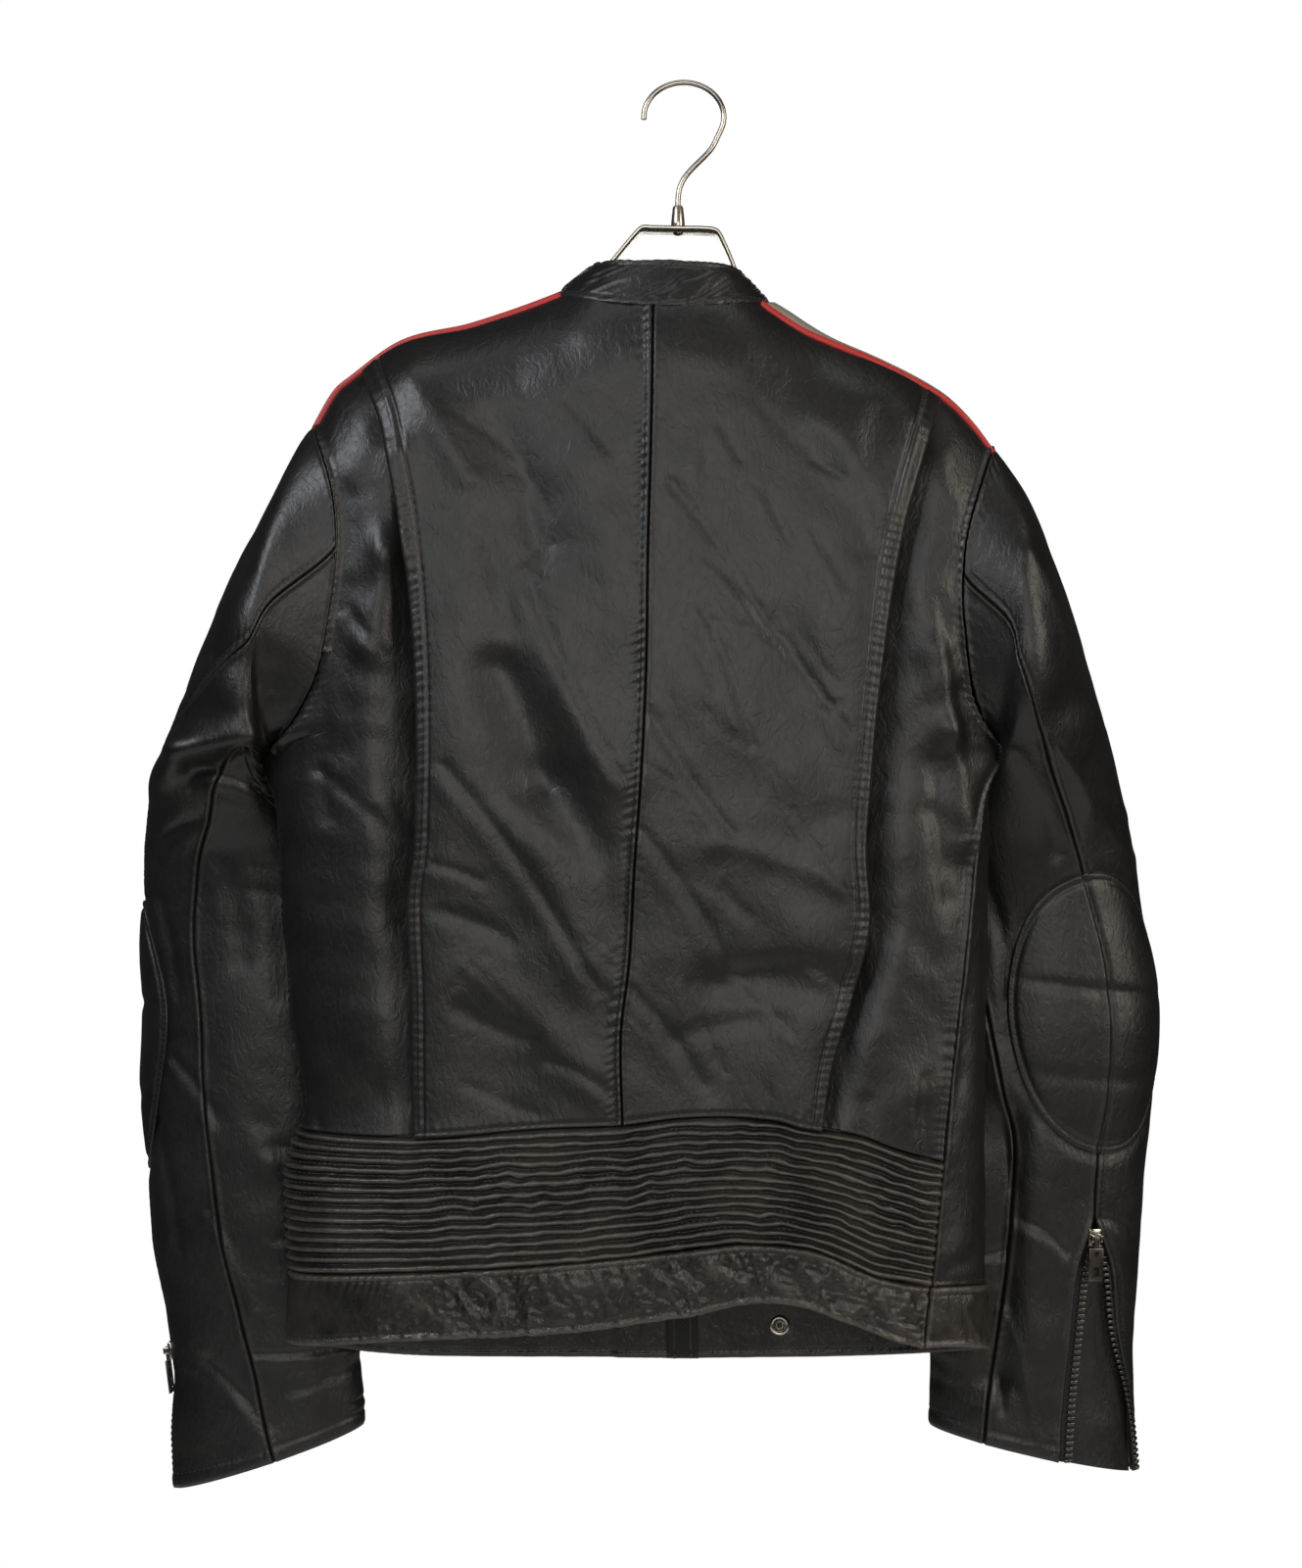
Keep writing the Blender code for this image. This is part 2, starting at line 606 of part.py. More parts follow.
    # Fronts, from the side seams to the zip.
    zip_left = [(z, x - HALF_ZIP / MM) for z, x in ZIP_LINE]
    zip_right = [(z, x + HALF_ZIP / MM) for z, x in ZIP_LINE]
    zip_x = curve_in_mm(ZIP_LINE)
    zip_top = ZIP_LINE[-1][1]
    neck_height = shoulder_front(zip_top * MM)
    columns = [0, 0.12, 0.24, 0.36, 0.48, 0.6, 0.69, 0.72, 0.75, 0.79, 0.86, 0.93, 1]
    side_x = curve_in_mm(SIDE_SEAM_RIGHT)
    seam_angle, hem_angle = (
        angle_at(side_x(height), height, BACK) for height in (hem_seam(hem_seam_right_x), back_hem(hem_right_x))
    )
    for name, face, zip_rows, armhole, neck in (
        ("left", FRONT_LEFT, zip_left, ARMHOLE_LEFT_FRONT, zip_top - HALF_ZIP / MM),
        ("right", FRONT_RIGHT, zip_right, ARMHOLE_RIGHT_FRONT, zip_top + HALF_ZIP / MM),
    ):
        zip_edge = down_line(zip_rows, face)
        start = left_side if face == FRONT_LEFT else seam_angle
        seam_low = angle_line(FRONT_SEAM, start, zip_edge(0.08)[0])
        if face == FRONT_LEFT:
            side_seam = left_seam(seam_low(0)[1], underarm_left)
        else:
            side_seam = down_line(SIDE_SEAM_RIGHT, BACK, seam_low(0)[1], underarm_right)
        outer = joined(side_seam, armhole_line(armhole, face, shoulder_front), UNDERARM)
        seam_end = underarm_left if face == FRONT_LEFT else underarm_right
        rib_height = rib_top(left_x if face == FRONT_LEFT else right_x)
        beside_ribs = (rib_height - seam_low(0)[1]) / (seam_end - seam_low(0)[1])
        rows = body_rows(armhole_top(armhole, shoulder_front), beside_ribs)
        place = patch(
            seam_low,
            cross_line(shoulder_front, edge_x(armhole, shoulder_front), neck * MM, face),
            outer,
            down_line(zip_rows, face, seam_low(1)[1], shoulder_front(neck * MM)),
        )
        torso_panel(f"front_{name}", place, columns, rows, leather, flat(LEATHER), flat(0),
                    (0.002, 0, 0.0008, 0.0008))
        start = left_side if face == FRONT_LEFT else hem_angle
        hem_low = angle_line(FRONT_HEM, start, zip_edge(0)[0])
        side_seam = (
            left_seam(hem_low(0)[1], seam_low(0)[1]) if face == FRONT_LEFT
            else down_line(SIDE_SEAM_RIGHT, BACK, hem_low(0)[1], seam_low(0)[1])
        )
        place = patch(hem_low, seam_low, side_seam,
                      down_line(zip_rows, face, hem_low(1)[1], seam_low(1)[1]))
        torso_panel(f"front_hem_band_{name}", place, even(10), even(3), leather, flat(HEM_THICKNESS),
                    flat(0), (0.003, 0, 0, 0.008))
    return zip_x, neck_height


def build_front_zip(leather_zip, zip_x, neck_height):
    """The tape behind the two front edges, with its chain raised between them."""
    low, high = -789 * MM, neck_height - 2 * MM
    chain, tape = 2.2 * MM, 10 * MM
    columns = [-tape, -chain - 0.2 * MM, -chain, chain, chain + 0.2 * MM, tape]

    def side(off):
        def point(x, t):
            height = low + (high - low) * t
            angle = angle_at(zip_x(height) + x, height, FRONT_RIGHT)
            return torso_offset(angle, height, off(x))

        return point

    wall("front_zip", side(lambda x: 1.0 * MM if abs(x) <= chain + 1e-6 else -0.9 * MM),
         side(lambda x: -1.7 * MM), columns, even(14), leather_zip)


def build_collar(leather):
    """The stand collar, a band round the neck that is open at the front above the zip."""
    centre = (NECK_LEFT + NECK_RIGHT) / 2 * MM
    half = (NECK_RIGHT - NECK_LEFT) / 2 * MM
    opening = math.radians(5)

    def base(turn):
        x = centre + half * math.sin(turn) * 0.999
        on_back = math.cos(turn) > 0
        height = (COLLAR_BACK_AT if on_back else COLLAR_FRONT_AT)(x)
        face = BACK if on_back else (FRONT_RIGHT if turn > 0 else FRONT_LEFT)
        return torso(angle_at(x, height, face), height)

    def middle(turn, v):
        low = base(turn) + Vector((0, 0, 1.6 * MM))
        rise = (26 - 9 * math.sin(turn) ** 2) * MM
        top = Vector((
            COLLAR_TOP_CENTRE + COLLAR_TOP_HALF_WIDTH * math.sin(turn),
            low.y * 0.84,
            low.z + rise,
        ))
        lean = math.sin(v * math.pi / 2) * 0.35 + v * 0.65
        return Vector((low.x + (top.x - low.x) * v, low.y + (top.y - low.y) * v, low.z + rise * lean))

    def side(sign):
        def point(u, v):
            turn = (2 * u - 1) * (math.pi - opening)
            here = middle(turn, v)
            around = middle(turn + 0.01, v) - middle(turn - 0.01, v)
            up = middle(turn, min(v + 0.02, 1)) - middle(turn, v - 0.02)
            outward = around.cross(up).normalized()
            return here + outward * sign * COLLAR_THICKNESS / 2

        return point

    wall("collar", side(1), side(-1), even(28), even(3), leather)


def collar_end(side, turn):
    """Where the collar's base crosses a line along the shoulder, given by its turn round the shoulder."""
    collar_at = COLLAR_BACK_AT if turn >= 0 else COLLAR_FRONT_AT
    inner, outer = NECK_MIDDLE, (NECK_LEFT if side == "left" else NECK_RIGHT) * MM
    for _ in range(40):
        middle = (inner + outer) / 2
        below = SHOULDER_AT(middle) - SHOULDER_ROUND * (1 - math.cos(turn)) < collar_at(middle)
        inner, outer = (inner, middle) if below else (middle, outer)
    return outer


def build_shoulder_trim(stripe, piping):
    """The band over each shoulder, let in between the back and the front, and the piping in its seams."""
    for name, (tip, front, back) in SHOULDER_BANDS.items():
        outward = math.copysign(1, tip)
        face = FRONT_LEFT if name == "left" else FRONT_RIGHT
        bands = (
            (f"shoulder_band_{name}", stripe, LEATHER, front, back, 5),
            (f"piping_back_{name}", piping, PIPING_THICKNESS, back + 0.5, back + PIPING_TURN, 2),
            (f"piping_front_{name}", piping, PIPING_THICKNESS, front - PIPING_TURN, front - 0.5, 2),
        )
        for band, surface, thickness, low, high, count in bands:
            end = (tip - outward * (0 if surface is stripe else 1.5)) * MM

            def side(off, low=low, high=high, end=end, name=name, face=face, outward=outward):
                def point(u, v):
                    turn = math.radians(low + (high - low) * v)
                    start = collar_end(name, turn) + outward * COLLAR_MARGIN
                    x = start + (end - start) * u
                    height = SHOULDER_AT(x) - SHOULDER_ROUND * (1 - math.cos(turn))
                    return torso_offset(angle_at(x, height, BACK if turn >= 0 else face), height, off)

                return point

            wall(band, side(thickness), side(0), even(14), even(count), surface)


class Sleeve:
    """A sleeve's surface by column round it and section down it."""

    def __init__(self, name, rows, seams, armhole_back, armhole_front, outward):
        self.name = name
        self.outward = outward
        self.sections = [[value * MM for value in row] for row in rows]
        self.seam_at = Curve(seams, scale=1)
        front_face = FRONT_LEFT if outward < 0 else FRONT_RIGHT
        self.armholes = (down_line(armhole_back, BACK), down_line(armhole_front, front_face))
        self.last = len(rows)

    def seams(self, down):
        """The under seam and the two edges of the back seam, which lie together above the cuff zip."""
        under, back, opening = self.seam_at(down)
        opening = max(opening, 0)
        return under, back - opening, back + opening

    def section(self, index, column):
        """A point of one section; the first is the armhole."""
        column = column % SLEEVE_COLUMNS
        if index == 0:
            on_back = column <= ARMHOLE_STEPS
            step = column if on_back else SLEEVE_COLUMNS - column
            up = (1 - math.cos(math.pi * step / ARMHOLE_STEPS)) / 2
            angle, height = self.armholes[0 if on_back else 1](up)
            start = torso_offset(angle, height, LEATHER + SEAM_GAP)
            return start + Vector((0, 0, UNDERARM_LIFT * (1 - up) ** 2))
        outer_x, outer_z, inner_x, inner_z, forward, depth = self.sections[index - 1]
        turn = math.pi * (1 - column / ARMHOLE_STEPS)
        outer, inner = Vector((outer_x, 0, outer_z)), Vector((inner_x, 0, inner_z))
        across = (outer - inner) / 2 * math.cos(turn)
        return (outer + inner) / 2 + across + Vector((0, forward - depth * math.sin(turn), 0))

    def surface(self, column, down):
        """A point between sections, on a smooth curve down the sleeve."""
        i = min(int(down), self.last - 1)
        t = down - i
        before, start = self.section(max(i - 1, 0), column), self.section(i, column)
        end, after = self.section(i + 1, column), self.section(min(i + 2, self.last), column)
        slope_in, slope_out = (end - before) / 2, (after - start) / 2
        bend = slope_in * (t * (1 - t) * (1 - t)) - slope_out * (t * t * (1 - t))
        return start.lerp(end, t * t * (3 - 2 * t)) + bend

    def frame(self, column, down):
        """A point with its directions down the sleeve and outward."""
        point = self.surface(column, down)
        around = self.surface(column + 0.3, down) - self.surface(column - 0.3, down)
        low, high = max(down - 0.05, 0), min(down + 0.05, self.last)
        along = self.surface(column, high) - self.surface(column, low)
        normal = around.cross(along).normalized() * -self.outward
        return point, along.normalized(), normal

    def offset(self, column, down, off):
        """A point moved off the sleeve, with the folds that show from the back."""
        point, _, normal = self.frame(column, down)
        facing = min(max(-normal.y * 1.5, 0), 1)
        return point + normal * (off + facing * fold_lift(SLEEVE_FOLDS, point.x, point.z))

    def panel(self, name, left, right, columns, surface, thickness):
        """A panel of the sleeve between two seams."""
        rows = [0.03, 0.5, 1, 2, 3, 4, 4.6, 5.1, 5.6, 6.1, 6.8]
        rows += [7.6 + i * (self.last - 7.6) / 9 for i in range(10)]

        def side(off):
            def point(u, down):
                gap = 0.018 + 0.08 * max(0, 1 - down)
                start, end = left(down) + gap, right(down) - gap
                return self.offset(start + (end - start) * u, down, off)

            return point

        wall(name, side(0), side(-thickness), even(columns), rows, surface)


def build_sleeve(sleeve, leather):
    """The two sleeve panels and the elbow pad."""
    name = sleeve.name
    sleeve.panel(f"sleeve_under_{name}", lambda down: sleeve.seams(down)[0],
                 lambda down: sleeve.seams(down)[1], 4, leather, LEATHER)
    sleeve.panel(f"sleeve_top_{name}", lambda down: sleeve.seams(down)[2],
                 lambda down: sleeve.seams(down)[0] + SLEEVE_COLUMNS, 16, leather, LEATHER)
    pad_column, pad_down = PAD_PLACE[name]

    def pad(base, dome):
        def point(u, v):
            x, y = u * math.sqrt(1 - v * v / 2), v * math.sqrt(1 - u * u / 2)
            off = base + dome * (1 - min(x * x + y * y, 1)) ** 0.5
            return sleeve.offset(pad_column + PAD_HALF_COLUMNS * x, pad_down + PAD_HALF_DOWN * y, off)

        return point

    steps = [i / 4 - 1 for i in range(9)]
    wall(f"elbow_pad_{name}", pad(PAD_LIFT + PAD_RIM, PAD_DOME), pad(PAD_LIFT, 0), steps, steps, leather)


def build_cuff_zip(sleeve, leather, tape, metal):
    """The gusset in the open cuff, the two taped rows of teeth, the slider and its pull tab."""
    name = sleeve.name
    top, end = CUFF_ZIP_TOP[name], sleeve.last - 0.03

    def strip(part, start, finish, skin, flesh, columns, surface, first):
        def side(off):
            def point(u, v):
                down = first + (end - first) * v
                column = start(down) + (finish(down) - start(down)) * u
                return sleeve.offset(column, down, off(u))

            return point

        wall(part, side(skin), side(flesh), columns, even(8), surface)

    def back_edge(down):
        return sleeve.seams(down)[1]

    def front_edge(down):
        return sleeve.seams(down)[2]

    back_depth, front_depth = TAPE_DEPTH[name]
    gusset_back, gusset_front = (depth + TAPE + 2.2 * SEAM_GAP for depth in (back_depth, front_depth))

    def gusset(thickness):
        return lambda u: -(gusset_back + (gusset_front - gusset_back) * u + thickness)

    strip(f"cuff_gusset_{name}", lambda d: back_edge(d) - 0.55, lambda d: front_edge(d) + 0.55,
          gusset(0), gusset(GUSSET_LEATHER), even(6), leather, top + 0.3)
    tape_edge, chain_edge = -0.45, 0.26
    chain_from = -tape_edge / (chain_edge - tape_edge)
    steps = [0, chain_from + 0.14, chain_from + 0.2, 1]

    def tape_skin(depth):
        return lambda u: -0.4 * MM if u > chain_from + 0.17 else -depth

    strip(f"cuff_zip_back_{name}", lambda d: back_edge(d) + tape_edge, lambda d: back_edge(d) + chain_edge,
          tape_skin(back_depth), lambda u: -back_depth - TAPE, steps, tape, top + 0.6)
    strip(f"cuff_zip_front_{name}", lambda d: front_edge(d) - tape_edge,
          lambda d: front_edge(d) - chain_edge, tape_skin(front_depth), lambda u: -front_depth - TAPE,
          steps, tape, top + 0.6)
    point, along, normal = sleeve.frame(sleeve.seams(top)[1], top + 0.2)
    build_slider(f"cuff_zip_{name}", point + normal * 0.6 * MM, along, normal, metal)


def box(name, low, high, place, surface, bevel=0.4 * MM):
    """A block with small rounded edges between two corners of a local frame."""
    bpy.ops.mesh.primitive_cube_add(size=1)
    part = bpy.context.object
    size, middle = Vector(high) - Vector(low), (Vector(high) + Vector(low)) / 2
    part.data.transform(Matrix.Translation(middle) @ Matrix.Diagonal((*size, 1)))
    part.data.transform(place)
    mesh = part.data
    bpy.data.objects.remove(part)
    block = place_object(name, mesh, surface)
    edge = block.modifiers.new("Edge", "BEVEL")
    edge.width, edge.segments, edge.limit_method = bevel, 1, "NONE"
    return block


def united(target, others):
    """Joins blocks into one closed body."""
    for other in others:
        join = target.modifiers.new("Join", "BOOLEAN")
        join.operation, join.object = "UNION", other
        other.hide_render, other.display_type = True, "WIRE"
        bpy.data.collections["motorcycle_jacket"].objects.unlink(other)
        bpy.data.collections["cutters"].objects.link(other)
    return target


def build_slider(name, foot, down, outward, metal):
    """A zip slider with two lugs, and a slotted pull tab that hangs from the pin between them.

    The local frame has X across the zip, Y down it and Z outward.
    """
    down = (down - outward * down.dot(outward)).normalized()
    across = down.cross(outward)
    place = Matrix((across, down, outward)).transposed().to_4x4()
    place.translation = foot
    half_width, half_length, height = 4.2 * MM, 5.5 * MM, 2.6 * MM
    pin_height, lug = 4.6 * MM, 1.3 * MM
    body = box(f"{name}_slider", (-half_width, -half_length, 0), (half_width, half_length, height), place,
               metal)
    lug_inner = 2.4 * MM
    lugs = [
        box(f"{name}_lug_{side}", (min(side * lug_inner, side * (lug_inner + lug)), -2.2 * MM, height / 2),
            (max(side * lug_inner, side * (lug_inner + lug)), 2.2 * MM, pin_height + 1.6 * MM), place, metal,
            0.3 * MM)
        for side in (-1, 1)
    ]
    united(body, lugs)
    knuckle, eye_radius = 2.1 * MM, 1.0 * MM
    half_shank, shank_thickness = 1.6 * MM, 1.2 * MM
    half_tab, tab_start, tab_end, tab_thickness = 5 * MM, 6 * MM, 27 * MM, 1.4 * MM
    half_slot, slot_start, slot_end = 2 * MM, 11 * MM, 24 * MM
    pin_frame = place @ Matrix.Translation((0, 0, pin_height))
    eye = box(f"{name}_eye", (-knuckle, -eye_radius, -eye_radius), (knuckle, eye_radius, eye_radius), pin_frame,
              metal, 0.5 * MM)
    shank = box(f"{name}_shank", (-half_shank, 0, -shank_thickness / 2),
                (half_shank, tab_start + MM, shank_thickness / 2), pin_frame, metal, 0.2 * MM)
    tab = box(f"{name}_pull", (-half_tab, tab_start, -tab_thickness / 2), (half_tab, tab_end, tab_thickness / 2),
              pin_frame, metal, 0.4 * MM)
    slot = box(f"{name}_slot", (-half_slot, slot_start, -tab_thickness), (half_slot, slot_end, tab_thickness),
               pin_frame, metal, 0.2 * MM)
    united(tab, [eye, shank])
    cut = tab.modifiers.new("Slot", "BOOLEAN")
    cut.operation, cut.object = "DIFFERENCE", slot
    slot.hide_render, slot.display_type = True, "WIRE"
    bpy.data.collections["motorcycle_jacket"].objects.unlink(slot)
    bpy.data.collections["cutters"].objects.link(slot)


def turned(name, profile, place, surface, steps=20):
    """A round piece turned from a profile of radius and height, from the top down."""
    mesh = bpy.data.meshes.new(name)
    mesh.from_pydata([(radius, 0, height) for radius, height in profile],
                     [(i, i + 1) for i in range(len(profile) - 1)], [])
    mesh.update()
    part = place_object(name, mesh, surface)
    part.matrix_world = place
    turn = part.modifiers.new("Turn", "SCREW")
    turn.steps = turn.render_steps = steps
    turn.use_merge_vertices = True
    turn.merge_threshold = 0.00002
    return part


def build_snap(metal):
    """The snap on the inside of the right front's hem band, with its ring and its centre."""
    x, height = 61 * MM, -769 * MM
    angle = angle_at(x, height, FRONT_RIGHT)
    point = torso_offset(angle, height, -0.4 * MM)
    outward = (point - torso_offset(angle, height, 0)).normalized()
    place = outward.to_track_quat("Z", "Y").to_matrix().to_4x4()
    place.translation = point
    radius = SNAP_RADIUS
    profile = [
        (0, 1.4 * MM), (1.8 * MM, 1.4 * MM), (2.2 * MM, 0.6 * MM), (radius * 0.55, 0.6 * MM),
        (radius * 0.66, 1.7 * MM), (radius * 0.86, 1.7 * MM), (radius, 0.8 * MM), (radius, 0), (0, 0),
    ]
    turned("hem_snap", profile, place, metal)


def build_hanger(metal):
    """The hook, its ferrule, the rivet, and the bent strip whose arms carry the shoulders."""
    loop_centre, loop_x, loop_z = -19.4 * MM, 24.6 * MM, 21.1 * MM
    arc = [math.radians(184 - i * (184 + 28) / 20) for i in range(21)]
    points = [Vector((loop_x * math.cos(t), 0, loop_centre + loop_z * math.sin(t))) for t in arc]
    neck = [(17.5, -38.5), (11.4, -45), (5, -51), (0, -57), (-2.8, -63), (-3.6, -69), (-3.6, -73.7)]
    points += [Vector((x * MM, 0, z * MM)) for x, z in neck]
    wire = bpy.data.curves.new("hanger_hook", "CURVE")
    wire.dimensions = "3D"
    wire.bevel_depth, wire.bevel_resolution, wire.use_fill_caps = HOOK_WIRE / 2, 2, True
    spline = wire.splines.new("POLY")
    spline.points.add(len(points) - 1)
    for place, point in zip(spline.points, points):
        place.co = (*point, 1)
    hook = bpy.data.objects.new("hanger_hook", wire)
    hook.data.materials.append(metal)
    bpy.data.collections["motorcycle_jacket"].objects.link(hook)

    stem = Matrix.Translation((-3.6 * MM, 0, 0))
    turned("hanger_ferrule",
           [(0, -74 * MM), (2.9 * MM, -74 * MM), (3.4 * MM, -75 * MM), (4.2 * MM, -84 * MM),
            (4.2 * MM, -87.5 * MM), (0, -87.5 * MM)], stem, metal)
    turned("hanger_rivet",
           [(0, -90.4 * MM), (3 * MM, -90.4 * MM), (2.6 * MM, -91.5 * MM), (0, -91.8 * MM)], stem, metal, 12)

    def arm(x):
        slope = (SHOULDER_AT((x + 1) * MM) - SHOULDER_AT((x - 1) * MM)) / (2 * MM)
        return x, (SHOULDER_AT(x * MM) - STRIP_SEAT * math.hypot(1, slope)) / MM

    left_arm = [arm(x) for x in (-196, -180, -162, -142, -122, -102, -84)]
    handle = [(-76, -136), (-68, -134), (-58, -124.5), (-45, -110.4), (-30, -92.5), (-25.5, -88.6),
              (-20, -88.6), (-3.6, -88.9), (16, -89.4), (20.5, -91), (24, -97), (30, -111), (34, -123),
              (38.5, -133), (43.5, -141), (49, -142.6), (56, -143.2)]
    right_arm = [arm(x) for x in (72, 90, 110, 130, 148, 164)]
    path = [Vector((x, 0, z)) * MM for x, z in left_arm + handle + right_arm]

    def side(sign):
        def point(index, across):
            i = int(round(index))
            run = path[min(i + 1, len(path) - 1)] - path[max(i - 1, 0)]
            normal = Vector((-run.z, 0, run.x)).normalized()
            return path[i] + normal * sign * STRIP_THICKNESS / 2 + Vector((0, across, 0))

        return point

    edges = [-STRIP_WIDTH / 2, STRIP_WIDTH / 2]
    wall("hanger_strip", side(1), side(-1), list(range(len(path))), edges, metal)


def main():
    """Builds the jacket on its hanger."""
    for old in list(bpy.data.objects):
        bpy.data.objects.remove(old)
    for name in ("motorcycle_jacket", "cutters"):
        bpy.context.scene.collection.children.link(bpy.data.collections.new(name))
    leather = material("black leather", (0.018, 0.018, 0.019), 0.4)
    stripe = material("grey leather stripe", (0.25, 0.24, 0.21), 0.5)
    piping = material("red leather piping", (0.45, 0.03, 0.025), 0.45)
    tape = material("black zip tape", (0.01, 0.01, 0.01), 0.8)
    nickel = material("nickel", (0.6, 0.58, 0.54), 0.25, 1.0)

    zip_x, neck_height = build_body(leather)
    build_front_zip(tape, zip_x, neck_height)
    build_collar(leather)
    build_shoulder_trim(stripe, piping)
    sleeves = (
        Sleeve("left", LEFT_SLEEVE, LEFT_SEAMS, ARMHOLE_LEFT_BACK, ARMHOLE_LEFT_FRONT, -1),
        Sleeve("right", RIGHT_SLEEVE, RIGHT_SEAMS, ARMHOLE_RIGHT_BACK, ARMHOLE_RIGHT_FRONT, 1),
    )
    for sleeve in sleeves:
        build_sleeve(sleeve, leather)
        build_cuff_zip(sleeve, leather, tape, nickel)
    height = neck_height - 8 * MM
    angle = angle_at(zip_x(height), height, FRONT_RIGHT)
    foot = torso_offset(angle, height, LEATHER + SLIDER_CLEARANCE)
    outward = (foot - torso_offset(angle, height, 0)).normalized()
    build_slider("front_zip", foot, Vector((0, 0, -1)), outward, nickel)
    build_snap(nickel)
    build_hanger(nickel)


main()
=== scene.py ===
"""Black leather motorcycle jacket on its metal strip hanger, as seen from behind.

The jacket's back faces -Y, X runs to the right of that view and Z is up, in metres, with the origin at the
highest point inside the hook. Every panel is laid out on the same surfaces and seams as its solid, as a thin
shell of leather with its creases, rolled edges and puckers, and the thread, the zips and the metal are added
on it. Tables are in millimetres.
"""

import json
import logging
import math
from collections.abc import Callable, Sequence
from dataclasses import dataclass, field
from enum import Enum

import bmesh
import bpy
import numpy as np
from mathutils import Matrix, Vector

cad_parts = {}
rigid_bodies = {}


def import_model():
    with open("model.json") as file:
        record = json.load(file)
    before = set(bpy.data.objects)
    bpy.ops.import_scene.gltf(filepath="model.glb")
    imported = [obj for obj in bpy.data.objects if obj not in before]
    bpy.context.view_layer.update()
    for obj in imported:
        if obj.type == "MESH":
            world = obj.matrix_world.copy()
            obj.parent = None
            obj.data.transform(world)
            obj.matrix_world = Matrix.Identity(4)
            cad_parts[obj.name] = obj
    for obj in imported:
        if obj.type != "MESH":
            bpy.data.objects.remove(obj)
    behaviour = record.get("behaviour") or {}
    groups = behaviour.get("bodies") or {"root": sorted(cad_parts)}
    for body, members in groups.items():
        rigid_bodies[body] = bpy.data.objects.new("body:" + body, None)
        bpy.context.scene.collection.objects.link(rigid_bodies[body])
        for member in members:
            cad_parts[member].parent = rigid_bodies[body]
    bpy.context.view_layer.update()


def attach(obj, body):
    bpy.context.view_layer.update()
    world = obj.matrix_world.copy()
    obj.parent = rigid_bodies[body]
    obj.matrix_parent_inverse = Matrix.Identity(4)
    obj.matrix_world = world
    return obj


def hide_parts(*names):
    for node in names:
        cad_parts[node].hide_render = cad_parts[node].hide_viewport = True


MM = 0.001
LOG = logging.getLogger("jacket")

Array, Piece, Material = np.ndarray, bpy.types.Object, bpy.types.Material
Values = Array | float
Rows = Sequence[tuple[float, ...]]
Line = Callable[[Array], Array]
Height = Callable[[Array], Array]

# The torso: height, left and right edge, and how far it bulges to the back and to the front.
TORSO: Rows = [
    (-773, -241, 185, 48, 46), (-722, -239, 183, 50, 46), (-659, -241, 183, 50, 46),
    (-626, -229, 183, 50, 46), (-578, -236, 183, 50, 46), (-518, -241, 184, 52, 48),
    (-458, -244, 185, 54, 50), (-407, -247, 181, 56, 52), (-308, -262, 208, 55, 52),
    (-98, -262, 208, 52, 50),
]
# The line along both shoulders: x, then the height.
SHOULDER: Rows = [
    (-224, -210), (-211, -188), (-202, -180), (-170, -158), (-128, -148), (-76, -130), (-53, -118),
    (-14, -112), (28, -120), (52, -137), (73, -150), (119, -169), (155, -188), (172, -203), (187, -222),
]
NECK_LEFT, NECK_RIGHT = -76 * MM, 52 * MM
BODY_MIDDLE = (-28 * MM, 0.0, -0.4)  # a point inside the jacket, which its surfaces face away from
NARROWEST, LEAST_FILL = 10.5 * MM, 0.31  # a strip's cut width with what is sewn under, and its share of it

# Seams that run down the body: the height, then x. The first one keeps to the body's own left edge.
LEFT_EDGE: Rows = [(-900, -400), (-300, -400)]
CENTRE_SEAM: Rows = [
    (-630, -37), (-576, -38), (-532, -33), (-477, -30), (-422, -26), (-356, -23), (-289, -22), (-214, -20),
    (-145, -19),
]
PLEAT_LEFT: Rows = [
    (-637, -160), (-555, -161), (-499, -163), (-466, -159), (-377, -158), (-289, -165), (-215, -179),
    (-176, -195),
]
PLEAT_RIGHT: Rows = [
    (-633, 80), (-595, 86), (-551, 99), (-511, 108), (-466, 106), (-422, 109), (-377, 113), (-288, 126),
    (-225, 143), (-189, 156),
]
SIDE_SEAM_RIGHT: Rows = [
    (-773, 141), (-729, 147), (-693, 151), (-655, 155), (-616, 159), (-534, 168), (-457, 176),
    (-400, 181.5),
]
ARMHOLE_LEFT_BACK: Rows = [
    (-408, -247), (-394, -234), (-365, -219), (-327, -211), (-285, -207), (-247, -211), (-210, -224),
]
ARMHOLE_LEFT_FRONT: Rows = [
    (-408, -247), (-394, -232), (-365, -212), (-327, -200), (-285, -196), (-247, -203), (-210, -224),
]
ARMHOLE_RIGHT_BACK: Rows = [
    (-400, 181.5), (-371, 172), (-328, 166), (-306, 166), (-281, 168), (-255, 175), (-222, 187),
]
ARMHOLE_RIGHT_FRONT: Rows = [
    (-400, 181.5), (-371, 165), (-328, 155), (-306, 154), (-281, 157), (-255, 167), (-222, 187),
]
ZIP_LINE: Rows = [(-791, 0), (-600, -4), (-400, -9), (-195, -14)]

